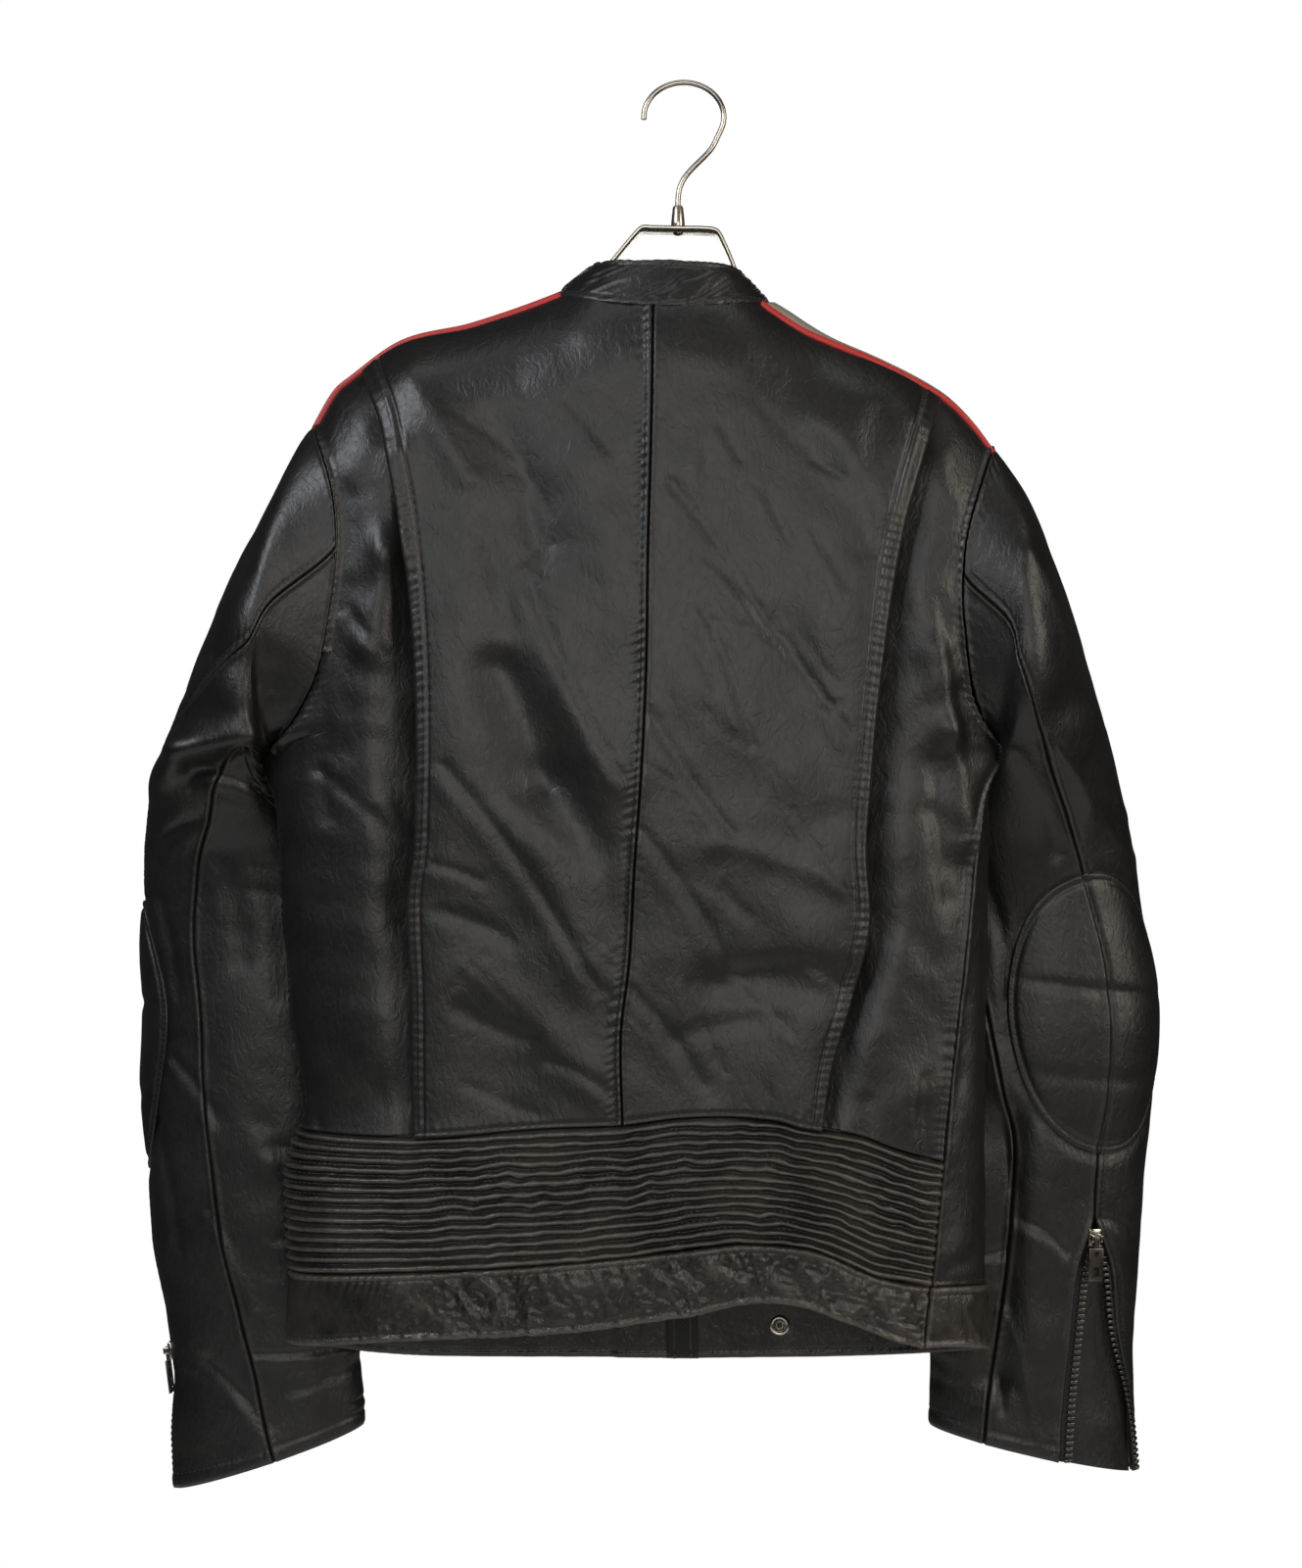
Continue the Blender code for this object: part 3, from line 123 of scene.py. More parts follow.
# Seams that run across: x, then the height.
RIB_TOP: Rows = [
    (-240, -639), (-227, -638), (-160, -638), (-81, -632), (-37, -630), (-5, -626), (24, -625), (54, -627),
    (68, -631), (102, -637), (126, -646), (155, -655),
]
HEM_SEAM: Rows = [
    (-240, -724), (-174, -719), (-81, -712), (-5, -704), (18, -701), (42, -700), (78, -705), (114, -721),
    (147, -729),
]
BACK_HEM: Rows = [
    (-241, -768), (-157, -758), (-81, -753), (-46, -749), (1, -742), (38, -735), (66, -737), (90, -746),
    (125, -760), (141, -765),
]
COLLAR_BACK: Rows = [
    (-76, -130), (-70, -134), (-45, -141), (-19, -143.5), (12, -143), (40, -138.5), (52, -137),
]
COLLAR_FRONT: Rows = [
    (-76, -130), (-72, -146), (-66, -160), (-48, -179), (-14, -192), (24, -182), (43, -164), (50, -148),
    (52, -137),
]
FRONT_SEAM: Rows = [
    (-190, -742), (-140, -738), (-90, -726), (57, -729), (90, -733), (140, -740), (174, -742),
]
FRONT_HEM: Rows = [
    (-190, -791), (-140, -787), (-90, -770), (57, -765), (90, -774), (140, -787), (174, -791),
]

# Folds and creases of the back: x and height at both ends, half width, how far it stands out, sideways bend.
BODY_FOLDS: Rows = [
    (-172, -235, -175, -290, 12, 5, 0), (-175, -290, -185, -345, 11, 4, 0),
    (150, -350, 158, -395, 12, 4, 0), (158, -395, 170, -460, 11, 4, 0), (-110, -365, -85, -425, 16, -4, 0),
    (-85, -425, -55, -465, 14, -3, 0), (20, -545, 90, -548, 12, -3, 0), (-205, -690, -150, -700, 14, 3, 0),
    (60, -680, 110, -690, 14, 3, 0),
]
BACK_CREASES: Rows = [
    (14, -294, 95, -397, 3.4, -0.7, 3), (-90, -313, -38, -422, 4, -0.8, -3),
    (10, -324, 39, -404, 3, -0.6, 2), (-21, -386, 28, -457, 3.4, -0.7, -2),
    (-26, -455, 28, -539, 3.6, -0.7, 3), (-141, -417, -52, -550, 4, -0.9, 5),
    (-109, -358, -61, -448, 12, -2.2, 4), (35, -539, 98, -538, 8, -1.4, 3),
    (-147, -475, -120, -485, 3, -0.6, 1), (-78, -592, -45, -610, 4, -0.7, 2),
    (-32, -548, 10, -605, 4, -0.7, 2), (-162, -185, -127, -246, 9, 2.0, -2),
    (-114, -214, -83, -289, 13, -2.2, 4), (-70, -202, -46, -231, 3, -0.4, 1),
    (22, -218, 32, -237, 3, -0.5, 0), (-9, -250, 43, -324, 3.6, -0.7, 2), (48, -257, 61, -285, 3, -0.5, 0),
    (0, -370, 58, -422, 15, 1.6, 3), (-69, -370, -34, -428, 12, 1.6, -2), (58, -335, 87, -445, 13, -1.6, 4),
    (-144, -503, -104, -520, 5, -0.9, 2), (-133, -561, -92, -578, 6, -0.9, -2),
    (18, -463, 87, -486, 8, 1.2, 4), (-5, -578, 58, -567, 7, -0.9, 3), (-115, -289, -104, -335, 7, -1.0, 2),
    (81, -214, 116, -266, 10, 1.8, 3), (116, -208, 105, -289, 9, -1.4, -3),
    (-100, -450, -60, -530, 16, 1.6, 4), (40, -450, 80, -540, 16, 1.4, -4),
    (-60, -240, -30, -330, 18, 1.2, 3), (50, -190, 90, -260, 16, -1.2, 3),
    (-120, -540, -60, -600, 12, 1.3, 3),
]
SLEEVE_FOLDS: Rows = [
    (-338, -430, -300, -405, 10, 7, 0), (-300, -405, -262, -398, 9, 8, 0),
    (-300, -425, -262, -415, 8, -5, 0), (-300, -330, -250, -365, 14, -3, 0),
    (-268, -425, -240, -440, 14, -8, 0), (232, -380, 262, -345, 14, -3, 0),
]
LEFT_SLEEVE_CREASES: Rows = [
    (-325, -345, -300, -395, 3.0, -1.2, 4), (-300, -420, -262, -430, 4, -2.5, 3),
    (-335, -470, -300, -450, 4, -1.6, 3), (-330, -500, -318, -560, 4, -1.2, 2),
    (-290, -470, -275, -540, 5, -1.6, 3), (-260, -480, -250, -560, 6, -1.8, 3),
    (-240, -500, -232, -590, 5, 1.6, 2), (-320, -600, -290, -640, 3, -1.0, 2),
    (-335, -640, -318, -720, 4, -1.2, 3), (-262, -640, -240, -700, 4, -1.2, 3),
    (-300, -700, -270, -760, 4, 1.4, 3), (-240, -740, -222, -800, 4, -1.3, 2),
    (-300, -790, -262, -830, 4, -1.2, 3), (-270, -240, -262, -300, 5, -1.2, 4),
    (-300, -300, -282, -350, 4, -1.0, 3),
]
RIGHT_SLEEVE_CREASES: Rows = [
    (205, -290, 232, -350, 5, 1.4, 3), (240, -320, 262, -390, 4, -1.2, 3),
    (200, -410, 232, -470, 6, -2.0, 5), (215, -400, 250, -440, 6, 2.0, 4),
    (186, -480, 205, -560, 5, -1.6, 3), (270, -455, 292, -470, 3, -1.4, -2),
    (272, -440, 290, -452, 4, 1.6, -2), (180, -600, 205, -680, 5, -1.4, 3),
    (170, -640, 190, -720, 5, 1.3, 3), (210, -700, 240, -720, 4, -1.4, 3),
    (262, -700, 285, -712, 3, -1.2, 2), (180, -740, 200, -820, 4, -1.2, 3),
    (203, -640, 196, -800, 12, -5, 2), (235, -270, 262, -340, 14, 2.5, 4),
    (262, -560, 296, -552, 2.4, -1.6, 2), (264, -600, 294, -598, 2.2, -0.9, 1),
    (200, -760, 222, -840, 4, 1.2, 3),
]

# Each sleeve from the armhole to the cuff: the outer and the inner edge of every section as seen from behind,
# how far forward its centre is, and half its depth.
LEFT_SLEEVE: Rows = [
    (-235, -221, -254, -409, 0, 46), (-259, -268, -257, -415, 0, 50), (-281, -310, -256, -421, 4, 52),
    (-301, -355, -253, -428, 12, 50), (-321, -402, -247, -439, 24, 46), (-333, -431, -236, -452, 38, 38),
    (-340, -459, -224, -468, 52, 34), (-343, -493, -214, -493, 60, 35), (-343, -528, -212, -528, 63, 36),
    (-340, -572, -209, -572, 63, 36), (-342, -622, -209, -622, 63, 35), (-340, -672, -209, -672, 62, 33),
    (-337, -722, -208, -717, 61, 30), (-328, -766, -207, -759, 60, 28), (-323, -803, -205, -794, 59, 26),
    (-325, -840, -203, -816, 58, 25), (-323, -875, -202, -835, 57, 25),
]
RIGHT_SLEEVE: Rows = [
    (197, -232, 189, -401, 0, 46), (211, -255, 192, -406, 0, 50), (229, -300, 191, -412, 4, 52),
    (245, -342, 188, -419, 12, 50), (262, -390, 182, -428, 24, 46), (275, -431, 175, -442, 38, 40),
    (285, -465, 167, -463, 52, 36), (293, -506, 160, -495, 60, 36), (302, -553, 157, -534, 63, 37),
    (303, -597, 155, -581, 63, 37), (298, -644, 156, -634, 62, 35), (294, -687, 157, -681, 61, 33),
    (291, -734, 159, -728, 60, 30), (288, -778, 159, -769, 59, 28), (288, -821, 158, -803, 58, 26),
    (290, -865, 157, -835, 57, 26),
]
# Seams of the sleeves: the section, then the columns of the under seam and of the back seam, and half the
# opening of the back seam at the cuff. There are twenty columns, from the inner edge over the back.
SLEEVE_COLUMNS, ARMHOLE_STEPS = 20, 10
LEFT_SEAMS: Rows = [
    (0, 0, 5.7, 0), (1, 0.3, 4.85, 0), (2, 1.4, 4.95, 0), (3.2, 2.8, 6, 0), (4.2, 3.9, 7.2, 0),
    (5.2, 4.9, 9.6, 0), (6.5, 5.55, 10, 0), (7.6, 6.2, 10.1, 0), (9.3, 6.45, 10.1, 0), (11.5, 6.1, 10.1, 0),
    (14.3, 5.45, 10.1, 0), (15, 5.25, 10.3, 0.45), (17, 4.65, 10.8, 1.05),
]
RIGHT_SEAMS: Rows = [
    (0, 0, 5.25, 0), (0.9, 0.2, 4.5, 0), (1.8, 0.6, 3.95, 0), (3.5, 1.2, 4.15, 0), (5.1, 1.7, 4.8, 0),
    (6.5, 2.1, 5.65, 0), (8.2, 2.5, 6.45, 0), (10.6, 3.7, 6.76, 0), (11.3, 4.1, 6.64, 0),
    (12.25, 4.05, 6.62, 0), (13, 3.9, 6.75, 0.6), (14, 3.66, 6.95, 0.95), (15, 3.42, 7.4, 1.6),
    (16, 3.24, 7.75, 2.15),
]


class Face(Enum):
    """The faces of the torso that a seam can lie on."""

    BACK = "back"
    FRONT_LEFT = "front left"
    FRONT_RIGHT = "front right"


class Side(Enum):
    """The wearer's side as seen from behind, with the way that points outward along X."""

    LEFT = -1
    RIGHT = 1

    @property
    def word(self) -> str:
        """The side's name, as the pieces carry it."""
        return self.name.lower()


class Border(Enum):
    """The four borders of a panel's net."""

    LEFT = "left"
    RIGHT = "right"
    BOTTOM = "bottom"
    TOP = "top"


@dataclass(frozen=True)
class SideSeams:
    """The seams of one side, and the face that its front lies on."""

    pleat: Rows
    armhole_back: Rows
    armhole_front: Rows
    front: Face


SEAMS = {
    Side.LEFT: SideSeams(PLEAT_LEFT, ARMHOLE_LEFT_BACK, ARMHOLE_LEFT_FRONT, Face.FRONT_LEFT),
    Side.RIGHT: SideSeams(PLEAT_RIGHT, ARMHOLE_RIGHT_BACK, ARMHOLE_RIGHT_FRONT, Face.FRONT_RIGHT),
}


# ---------------------------------------------------------------------------------------------- surfaces


def unit(vectors: Array) -> Array:
    """Vectors scaled to length one."""
    return vectors / np.maximum(np.linalg.norm(vectors, axis=-1, keepdims=True), 1e-12)


def ease(share: Array) -> Array:
    """A share kept between 0 and 1 and eased in and out."""
    share = np.clip(share, 0, 1)
    return share * share * (3 - 2 * share)


def hump(place: Array, width: Values) -> Array:
    """A smooth hump, 1 at zero and almost gone at twice its width."""
    return np.exp(-((place / width) ** 2))


def travelled(points: Array) -> Array:
    """The way along a line of points up to each of them."""
    return np.concatenate([[0], np.cumsum(np.linalg.norm(np.diff(points, axis=0), axis=1))])


def between(at: Values, away: Array, values: Array) -> Array:
    """Points or directions at some ways along a line, from those at the ways away."""
    return np.stack([np.interp(at, away, values[:, k]) for k in range(3)], -1)


class Curve:
    """A smooth curve through the rows of a table, whose first column is the place along it."""

    def __init__(self, rows: Rows, scale: float = MM, key_scale: float = MM) -> None:
        """Reads the table.

        Args:
            rows: the place along the curve, then its values.
            scale: what turns the values into metres.
            key_scale: what turns the places into metres.
        """
        table = np.array(rows, float)
        self.keys = table[:, 0] * key_scale
        self.values = table[:, 1:] * scale
        index = np.arange(len(table))
        before, after = np.maximum(index - 1, 0), np.minimum(index + 1, len(table) - 1)
        spans = (self.keys[after] - self.keys[before])[:, None]
        self.slopes = (self.values[after] - self.values[before]) / spans

    def all(self, place: Values) -> Array:
        """All values at some places.

        Args:
            place: places along the curve.

        Returns:
            The values, one more axis than the places.
        """
        place = np.clip(np.asarray(place, float), self.keys[0], self.keys[-1])
        i = np.clip(np.searchsorted(self.keys, place, side="right") - 1, 0, len(self.keys) - 2)
        span = (self.keys[i + 1] - self.keys[i])[..., None]
        t = (place - self.keys[i])[..., None] / span
        start, end = self.values[i], self.values[i + 1]
        bend = self.slopes[i] * t * (1 - t) ** 2 - self.slopes[i + 1] * t * t * (1 - t)
        return start + (end - start) * t * t * (3 - 2 * t) + bend * span

    def __call__(self, place: Values) -> Array:
        """The first value at some places."""
        return self.all(place)[..., 0]


class Noise:
    """Smooth random hills between -1 and 1, the same in every run."""

    def __init__(self, seed: int, cells: int = 96) -> None:
        """Fills the lattice.

        Args:
            seed: the start of the random numbers.
            cells: the lattice's cells each way, after which it repeats.
        """
        self.cells = cells
        self.grid = np.random.default_rng(seed).uniform(-1, 1, (cells, cells))

    def __call__(self, x: Array, y: Values, size: float) -> Array:
        """The hills at some places.

        Args:
            x: places along the first way.
            y: places along the second way.
            size: the width of a hill.

        Returns:
            The heights, from -1 to 1.
        """
        gx, gy = np.broadcast_arrays(np.asarray(x) / size, np.asarray(y) / size)
        ix, iy = np.floor(gx).astype(int), np.floor(gy).astype(int)
        tx, ty = ease(gx - ix), ease(gy - iy)
        x0, x1, y0, y1 = ix % self.cells, (ix + 1) % self.cells, iy % self.cells, (iy + 1) % self.cells
        low = self.grid[x0, y0] * (1 - tx) + self.grid[x1, y0] * tx
        high = self.grid[x0, y1] * (1 - tx) + self.grid[x1, y1] * tx
        return low * (1 - ty) + high * ty


HILLS = Noise(11)
RIDGES = Noise(23)


def creases(rows: Rows, x: Array, z: Array) -> Array:
    """How far creases and folds lift the leather.

    Args:
        rows: both ends, half width, lift and sideways bend of each, in millimetres.
        x: places across.
        z: heights.

    Returns:
        The lift in metres, below zero in a trough. A narrow trough has a low ridge along one side.
    """
    lift = np.zeros_like(x)
    for x1, z1, x2, z2, half_width, stand, bend in rows:
        run_x, run_z = (x2 - x1) * MM, (z2 - z1) * MM
        length = math.hypot(run_x, run_z)
        t = ((x - x1 * MM) * run_x + (z - z1 * MM) * run_z) / length**2
        off = ((z - z1 * MM) * run_x - (x - x1 * MM) * run_z) / length - bend * MM * 4 * t * (1 - t)
        beyond = np.maximum(np.maximum(-t, t - 1), 0) * length
        apart = np.sqrt(off**2 + beyond**2) / (half_width * MM)
        lift += stand * MM * np.exp(-(apart**2))
        if stand < 0 and half_width < 4.1:
            beside = np.sqrt((off + 2.2 * half_width * MM) ** 2 + beyond**2) / (1.6 * half_width * MM)
            lift -= 0.55 * stand * MM * np.exp(-(beside**2))
    return lift


@dataclass(frozen=True)
class Scatter:
    """Fine creases strewn over an area in one main direction, for leather that has had long use."""

    seed: int
    count: int
    low: tuple[float, float]
    high: tuple[float, float]
    direction: float
    spread: float
    length: tuple[float, float]
    half_width: tuple[float, float]
    depth: tuple[float, float]

    def rows(self) -> Rows:
        """The creases as a table for creases(), in millimetres and degrees."""
        random = np.random.default_rng(self.seed)
        made = []
        for _ in range(self.count):
            x, z = random.uniform(self.low, self.high)
            turn = math.radians(random.normal(self.direction, self.spread))
            length = random.uniform(*self.length)
            made.append((x, z, x + length * math.cos(turn), z + length * math.sin(turn),
                         random.uniform(*self.half_width), -random.uniform(*self.depth),
                         random.uniform(-0.06, 0.06) * length))
        return made


class Torso:
    """The surface that the body's panels lie on, by the angle round the body and the height."""

    def __init__(self, shoulder_round: float = 70 * MM, side_roundness: float = 0.8) -> None:
        """Reads the tables.

        Args:
            shoulder_round: how far below the shoulder line the surface begins to close.
            side_roundness: how full the sides are.
        """
        self.shoulder_round = shoulder_round
        self.side_roundness = side_roundness
        self.sections = Curve(TORSO)
        self.shoulder = Curve(SHOULDER)

    def point(self, angle: Array, height: Array) -> Array:
        """Points on the surface.

        Args:
            angle: angles round the body, 0 at the centre back and a quarter turn at the right side.
            height: heights.

        Returns:
            The points.
        """
        left, right, back, front = np.moveaxis(self.sections.all(height), -1, 0)
        x = (left + right) / 2 + (right - left) / 2 * np.sin(angle)
        side = np.cos(angle)
        closing = np.clip((height - self.shoulder(x) + self.shoulder_round) / self.shoulder_round, 0, 1)
        depth = np.abs(side) ** self.side_roundness * np.sqrt(1 - closing**2)
        return np.stack(np.broadcast_arrays(x, np.where(side > 0, -back, front) * depth, height), -1)

    def normal(self, angle: Array, height: Array) -> Array:
        """The outward directions of points on the surface."""
        across = self.point(angle + 0.01, height) - self.point(angle - 0.01, height)
        rise = self.point(angle, height) - self.point(angle, height - 0.5 * MM)
        return unit(np.cross(across, rise))

    def angle_at(self, x: Array, height: Array, face: Face) -> Array:
        """The angle of a place on one face of the torso."""
        left, right = np.moveaxis(self.sections.all(height), -1, 0)[:2]
        turn = np.arcsin(np.clip((2 * x - left - right) / (right - left), -1, 1))
        return {Face.BACK: turn, Face.FRONT_RIGHT: math.pi - turn, Face.FRONT_LEFT: -math.pi - turn}[face]


TRUNK = Torso()
COLLAR_BACK_AT, COLLAR_FRONT_AT = Curve(COLLAR_BACK), Curve(COLLAR_FRONT)
PIPING_TURN, PANEL_TURN = 5.0, 5.6  # degrees round the shoulder: the piping, and where the panel starts


@dataclass(frozen=True)
class ShoulderBand:
    """The band over one shoulder: where it ends, and how far round the shoulder it reaches, in degrees."""

    side: Side
    tip: float
    front: float
    back: float

    def panel_drop(self, face: Face) -> float:
        """How far below the shoulder line the panel next to this band's piping stops."""
        turn = math.radians((self.back if face is Face.BACK else -self.front) + PANEL_TURN)
        return TRUNK.shoulder_round * (1 - math.cos(turn))


BANDS = {
    Side.LEFT: ShoulderBand(Side.LEFT, -222.6 * MM, -15.5, 15.5),
    Side.RIGHT: ShoulderBand(Side.RIGHT, 185.8 * MM, -15.0, 22.0),
}


def down_line(rows: Rows, face: Face, low: float | None = None, high: float | None = None) -> Line:
    """A seam down the torso.

    Args:
        rows: its table of height and x.
        face: the face it lies on.
        low: where it starts, or None for the table's start.
        high: where it ends, or None for the table's end.

    Returns:
        Angle and height at each share of its way.
    """
    x_at = Curve(rows)
    low = rows[0][0] * MM if low is None else low
    high = rows[-1][0] * MM if high is None else high

    def line(t: Array) -> Array:
        """The seam's angle and height."""
        height = low + (high - low) * t
        return np.stack([TRUNK.angle_at(x_at(height), height, face), height], -1)

    return line


def cross_line(height_at: Height, start_x: float, end_x: float, face: Face) -> Line:
    """A seam across the torso, between two places along it.

    Args:
        height_at: its height at each place.
        start_x: where it starts.
        end_x: where it ends.
        face: the face it lies on.

    Returns:
        Angle and height at each share of its way.
    """

    def line(t: Array) -> Array:
        """The seam's angle and height."""
        x = start_x + (end_x - start_x) * t
        height = height_at(x)
        return np.stack([TRUNK.angle_at(x, height, face), height], -1)

    return line


def angle_line(rows: Rows, start: float, end: float) -> Line:
    """A seam across the torso from a table of degrees and height, between two angles in radians."""
    height_at = Curve(rows, key_scale=1)

    def line(t: Array) -> Array:
        """The seam's angle and height."""
        angle = start + (end - start) * t
        return np.stack([angle, height_at(np.degrees(angle))], -1)

    return line


def joined(lower: Line, upper: Line, share: float) -> Line:
    """Two lines end to end, the lower one up to a share of the way."""

    def line(t: Array) -> Array:
        """The angle and height on whichever line holds the place."""
        on_lower = (t <= share)[..., None]
        over = np.maximum((t - share) / (1 - share), 0)
        return np.where(on_lower, lower(np.minimum(t / share, 1)), upper(over))

    return line


@dataclass(frozen=True)
class Patch:
    """The area between four seams."""

    bottom: Line
    top: Line
    left: Line
    right: Line

    def at(self, u: Array, v: Array) -> Array:
        """Angles and heights at shares of the way across and up.

        Args:
            u: shares across.
            v: shares up.

        Returns:
            Angle and height, in the last axis.
        """
        zero, one = np.zeros(1), np.ones(1)
        across, up = u[..., None], v[..., None]
        low = self.bottom(zero) * (1 - across) + self.bottom(one) * across
        high = self.top(zero) * (1 - across) + self.top(one) * across
        sides = self.left(v) * (1 - across) + self.right(v) * across
        return self.bottom(u) * (1 - up) + self.top(u) * up + sides - low * (1 - up) - high * up


def top_edge(collar_at: Curve, face: Face) -> Height:
    """The height of the top of the panels: the shoulder's piping, or the collar's base where that is lower.

    Args:
        collar_at: the height of the collar's base on this face.
        face: the face.

    Returns:
        The height at each place across.
    """
    lift = 0.8 * MM

    def height(x: Array) -> Array:
        """The top edge's height."""
        slope = (collar_at(x + MM) - collar_at(x - MM)) / (2 * MM)
        neck = collar_at(x) + lift * (2 - np.minimum(np.hypot(1, slope), 5))
        drop = np.where(x < 0, BANDS[Side.LEFT].panel_drop(face), BANDS[Side.RIGHT].panel_drop(face))
        return np.minimum(neck, TRUNK.shoulder(x) - drop)

    return height


def meeting(rows: Rows, top_at: Height) -> float:
    """The height at which a seam down the torso meets the top edge of its panel."""
    x_at = Curve(rows)
    low, high = -0.3, rows[-1][0] * MM + 20 * MM
    for _ in range(40):
        middle = (low + high) / 2
        low, high = (middle, high) if middle < float(top_at(x_at(middle))) else (low, middle)
    return low


def edge_x(rows: Rows, top_at: Height) -> float:
    """The place across the torso at which a seam meets the top edge of its panel."""
    return float(Curve(rows)(meeting(rows, top_at)))


def armhole_line(rows: Rows, face: Face, top_at: Height) -> Line:
    """An armhole's seam from the underarm to the shoulder band's piping."""
    low, high = rows[0][0] * MM, rows[-1][0] * MM
    line, top = down_line(rows, face), (meeting(rows, top_at) - low) / (high - low)
    return lambda t: line(t * top)


# ------------------------------------------------------------------------------------------------ leather


def puffs(along: Array, seed: Values, pitch: float) -> Array:
    """The small puffs between the stitches of a seam, from -1 to 1, uneven in length and height."""
    place = along / pitch + 0.9 * HILLS(along, seed, 5 * pitch)
    return np.cos(math.tau * place) * (0.75 + 0.5 * RIDGES(along, seed, 4 * pitch))


@dataclass(frozen=True)
class Sewn:
    """How one border of a panel is sewn, and what that does to the leather beside it."""

    drop: float = 1.9 * MM  # how far the border is turned down
    turn: float = 0.75 * MM  # over which width
    roll: float = 0.0  # the roll beside the border
    raised: float = 0.0  # the strip up to the stitches
    stitch: float | None = None  # the row's distance from the border
    pucker: float = 0.0
    pucker_reach: float = 6 * MM
    pucker_pitch: float = 5.6 * MM

    def lift(self, away: Array, along: Array, seed: float) -> Array:
        """How far the leather is lifted near the border.

        Args:
            away: distances from the border.
            along: distances along it.
            seed: a number that makes this border's puckers its own.

        Returns:
            The lift in metres.
        """
        lift = -self.drop * hump(away, self.turn)
        lift += self.roll * hump(away - 2.2 * MM, 1.5 * MM)
        row = self.stitch or 0.0
        if self.stitch:
            lift += self.raised * ease((row + 1.0 * MM - away) / (1.4 * MM))
            lift -= 0.7 * MM * hump(away - row, 0.9 * MM)
        if self.pucker:
            reach = hump(away - row, self.pucker_reach)
            swell = 0.55 + 0.45 * HILLS(along, 7 * seed, 40 * MM)
            lift += self.pucker * swell * reach * puffs(along + 0.3 * away, 3.1 * seed, self.pucker_pitch)
        return lift


class Net:
    """A grid of points on a surface, with its outward directions and its distances from its borders."""

    def __init__(self, points: Array, inside: Array | Sequence[float]) -> None:
        """Measures the grid.

        Args:
            points: rows by columns by three.
            inside: a point, or points, that the surface faces away from.
        """
        self.points = points
        rise, run = np.gradient(points, axis=0), np.gradient(points, axis=1)
        normal = unit(np.cross(run, rise))
        self.turned = bool(np.mean(np.sum(normal * (points - np.asarray(inside)), axis=-1)) < 0)
        self.outward = -normal if self.turned else normal
        across = np.linalg.norm(np.diff(points, axis=1), axis=2)
        up = np.linalg.norm(np.diff(points, axis=0), axis=2)
        from_left = np.concatenate([np.zeros((len(points), 1)), np.cumsum(across, axis=1)], axis=1)
        from_bottom = np.concatenate([np.zeros((1, points.shape[1])), np.cumsum(up, axis=0)], axis=0)
        self.away = {
            Border.LEFT: from_left, Border.RIGHT: from_left[:, -1:] - from_left,
            Border.BOTTOM: from_bottom, Border.TOP: from_bottom[-1:] - from_bottom,
        }
        self.width, self.length = float(from_left[:, -1].max()), float(from_bottom[-1].max())
        corners = np.cross(points[1:, 1:] - points[:-1, :-1], points[1:, :-1] - points[:-1, 1:])
        self.area = float(np.linalg.norm(corners, axis=2).sum() / 2)

    def along(self, border: Border) -> Array:
        """Distances along one border."""
        return self.away[Border.BOTTOM if border in (Border.LEFT, Border.RIGHT) else Border.LEFT]

    def sewn(self, borders: dict[Border, Sewn], seed: float) -> tuple[Array, Array]:
        """The lift that the sewn borders give, and how much lighter they draw the leather beside them.

        Args:
            borders: how each border is sewn.
            seed: a number that makes this panel's puckers its own.

        Returns:
            The lift in metres, and that lightening from 0 to 1.
        """
        lift, wear = np.zeros(self.points.shape[:2]), np.zeros(self.points.shape[:2])
        for number, (border, seam) in enumerate(borders.items()):
            away = self.away[border]
            lift += seam.lift(away, self.along(border), seed + 0.37 * number)
            wear = np.maximum(wear, 0.7 * hump(away - 1.8 * MM, 1.3 * MM))
        return lift, wear

    def row_at(self, border: Border, away: float, skin: Array) -> tuple[Array, Array]:
        """The points on a skin at one distance from a border, with their outward directions.

        Args:
            border: the border.
            away: the distance from it.
            skin: the grid of skin points.

        Returns:
            The points and the directions, one of each for every row or column.
        """
        by_row = border in (Border.LEFT, Border.RIGHT)
        distance, grid, facing = self.away[border], skin, self.outward
        if not by_row:
            distance, grid, facing = distance.T, grid.transpose(1, 0, 2), facing.transpose(1, 0, 2)
        points, directions = [], []
        for row, places, normals in zip(distance, grid, facing):
            order = np.argsort(row)
            points.append(between(away, row[order], places[order]))
            directions.append(between(away, row[order], normals[order]))
        return np.array(points), unit(np.array(directions))


def linked(name: str, data: bpy.types.ID) -> Piece:
    """An object with its data, put in the scene."""
    made = bpy.data.objects.new(name, data)
    bpy.context.scene.collection.objects.link(made)
    return made


def stand_in(made: Piece, node: str, body: str = "jacket") -> None:
    """Lets a piece ride a body and hides the node that it stands for."""
    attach(made, body)
    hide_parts(node)


def declare_sheet(made: Piece, width: float, length: float, area: float) -> None:
    """Logs the flat width, length and area of a piece that hangs as a sheet, with the width and area kept in
    bounds.

    Args:
        made: the piece.
        width: its flat width where it is widest.
        length: its flat length.
        area: its flat area.
    """
    width = max(width, NARROWEST)
    area = min(max(area, LEAST_FILL * width * length), width * length)
    LOG.info("%s: %.0f x %.0f mm, %.0f cm2", made.name, width / MM, length / MM, area * 1e4)


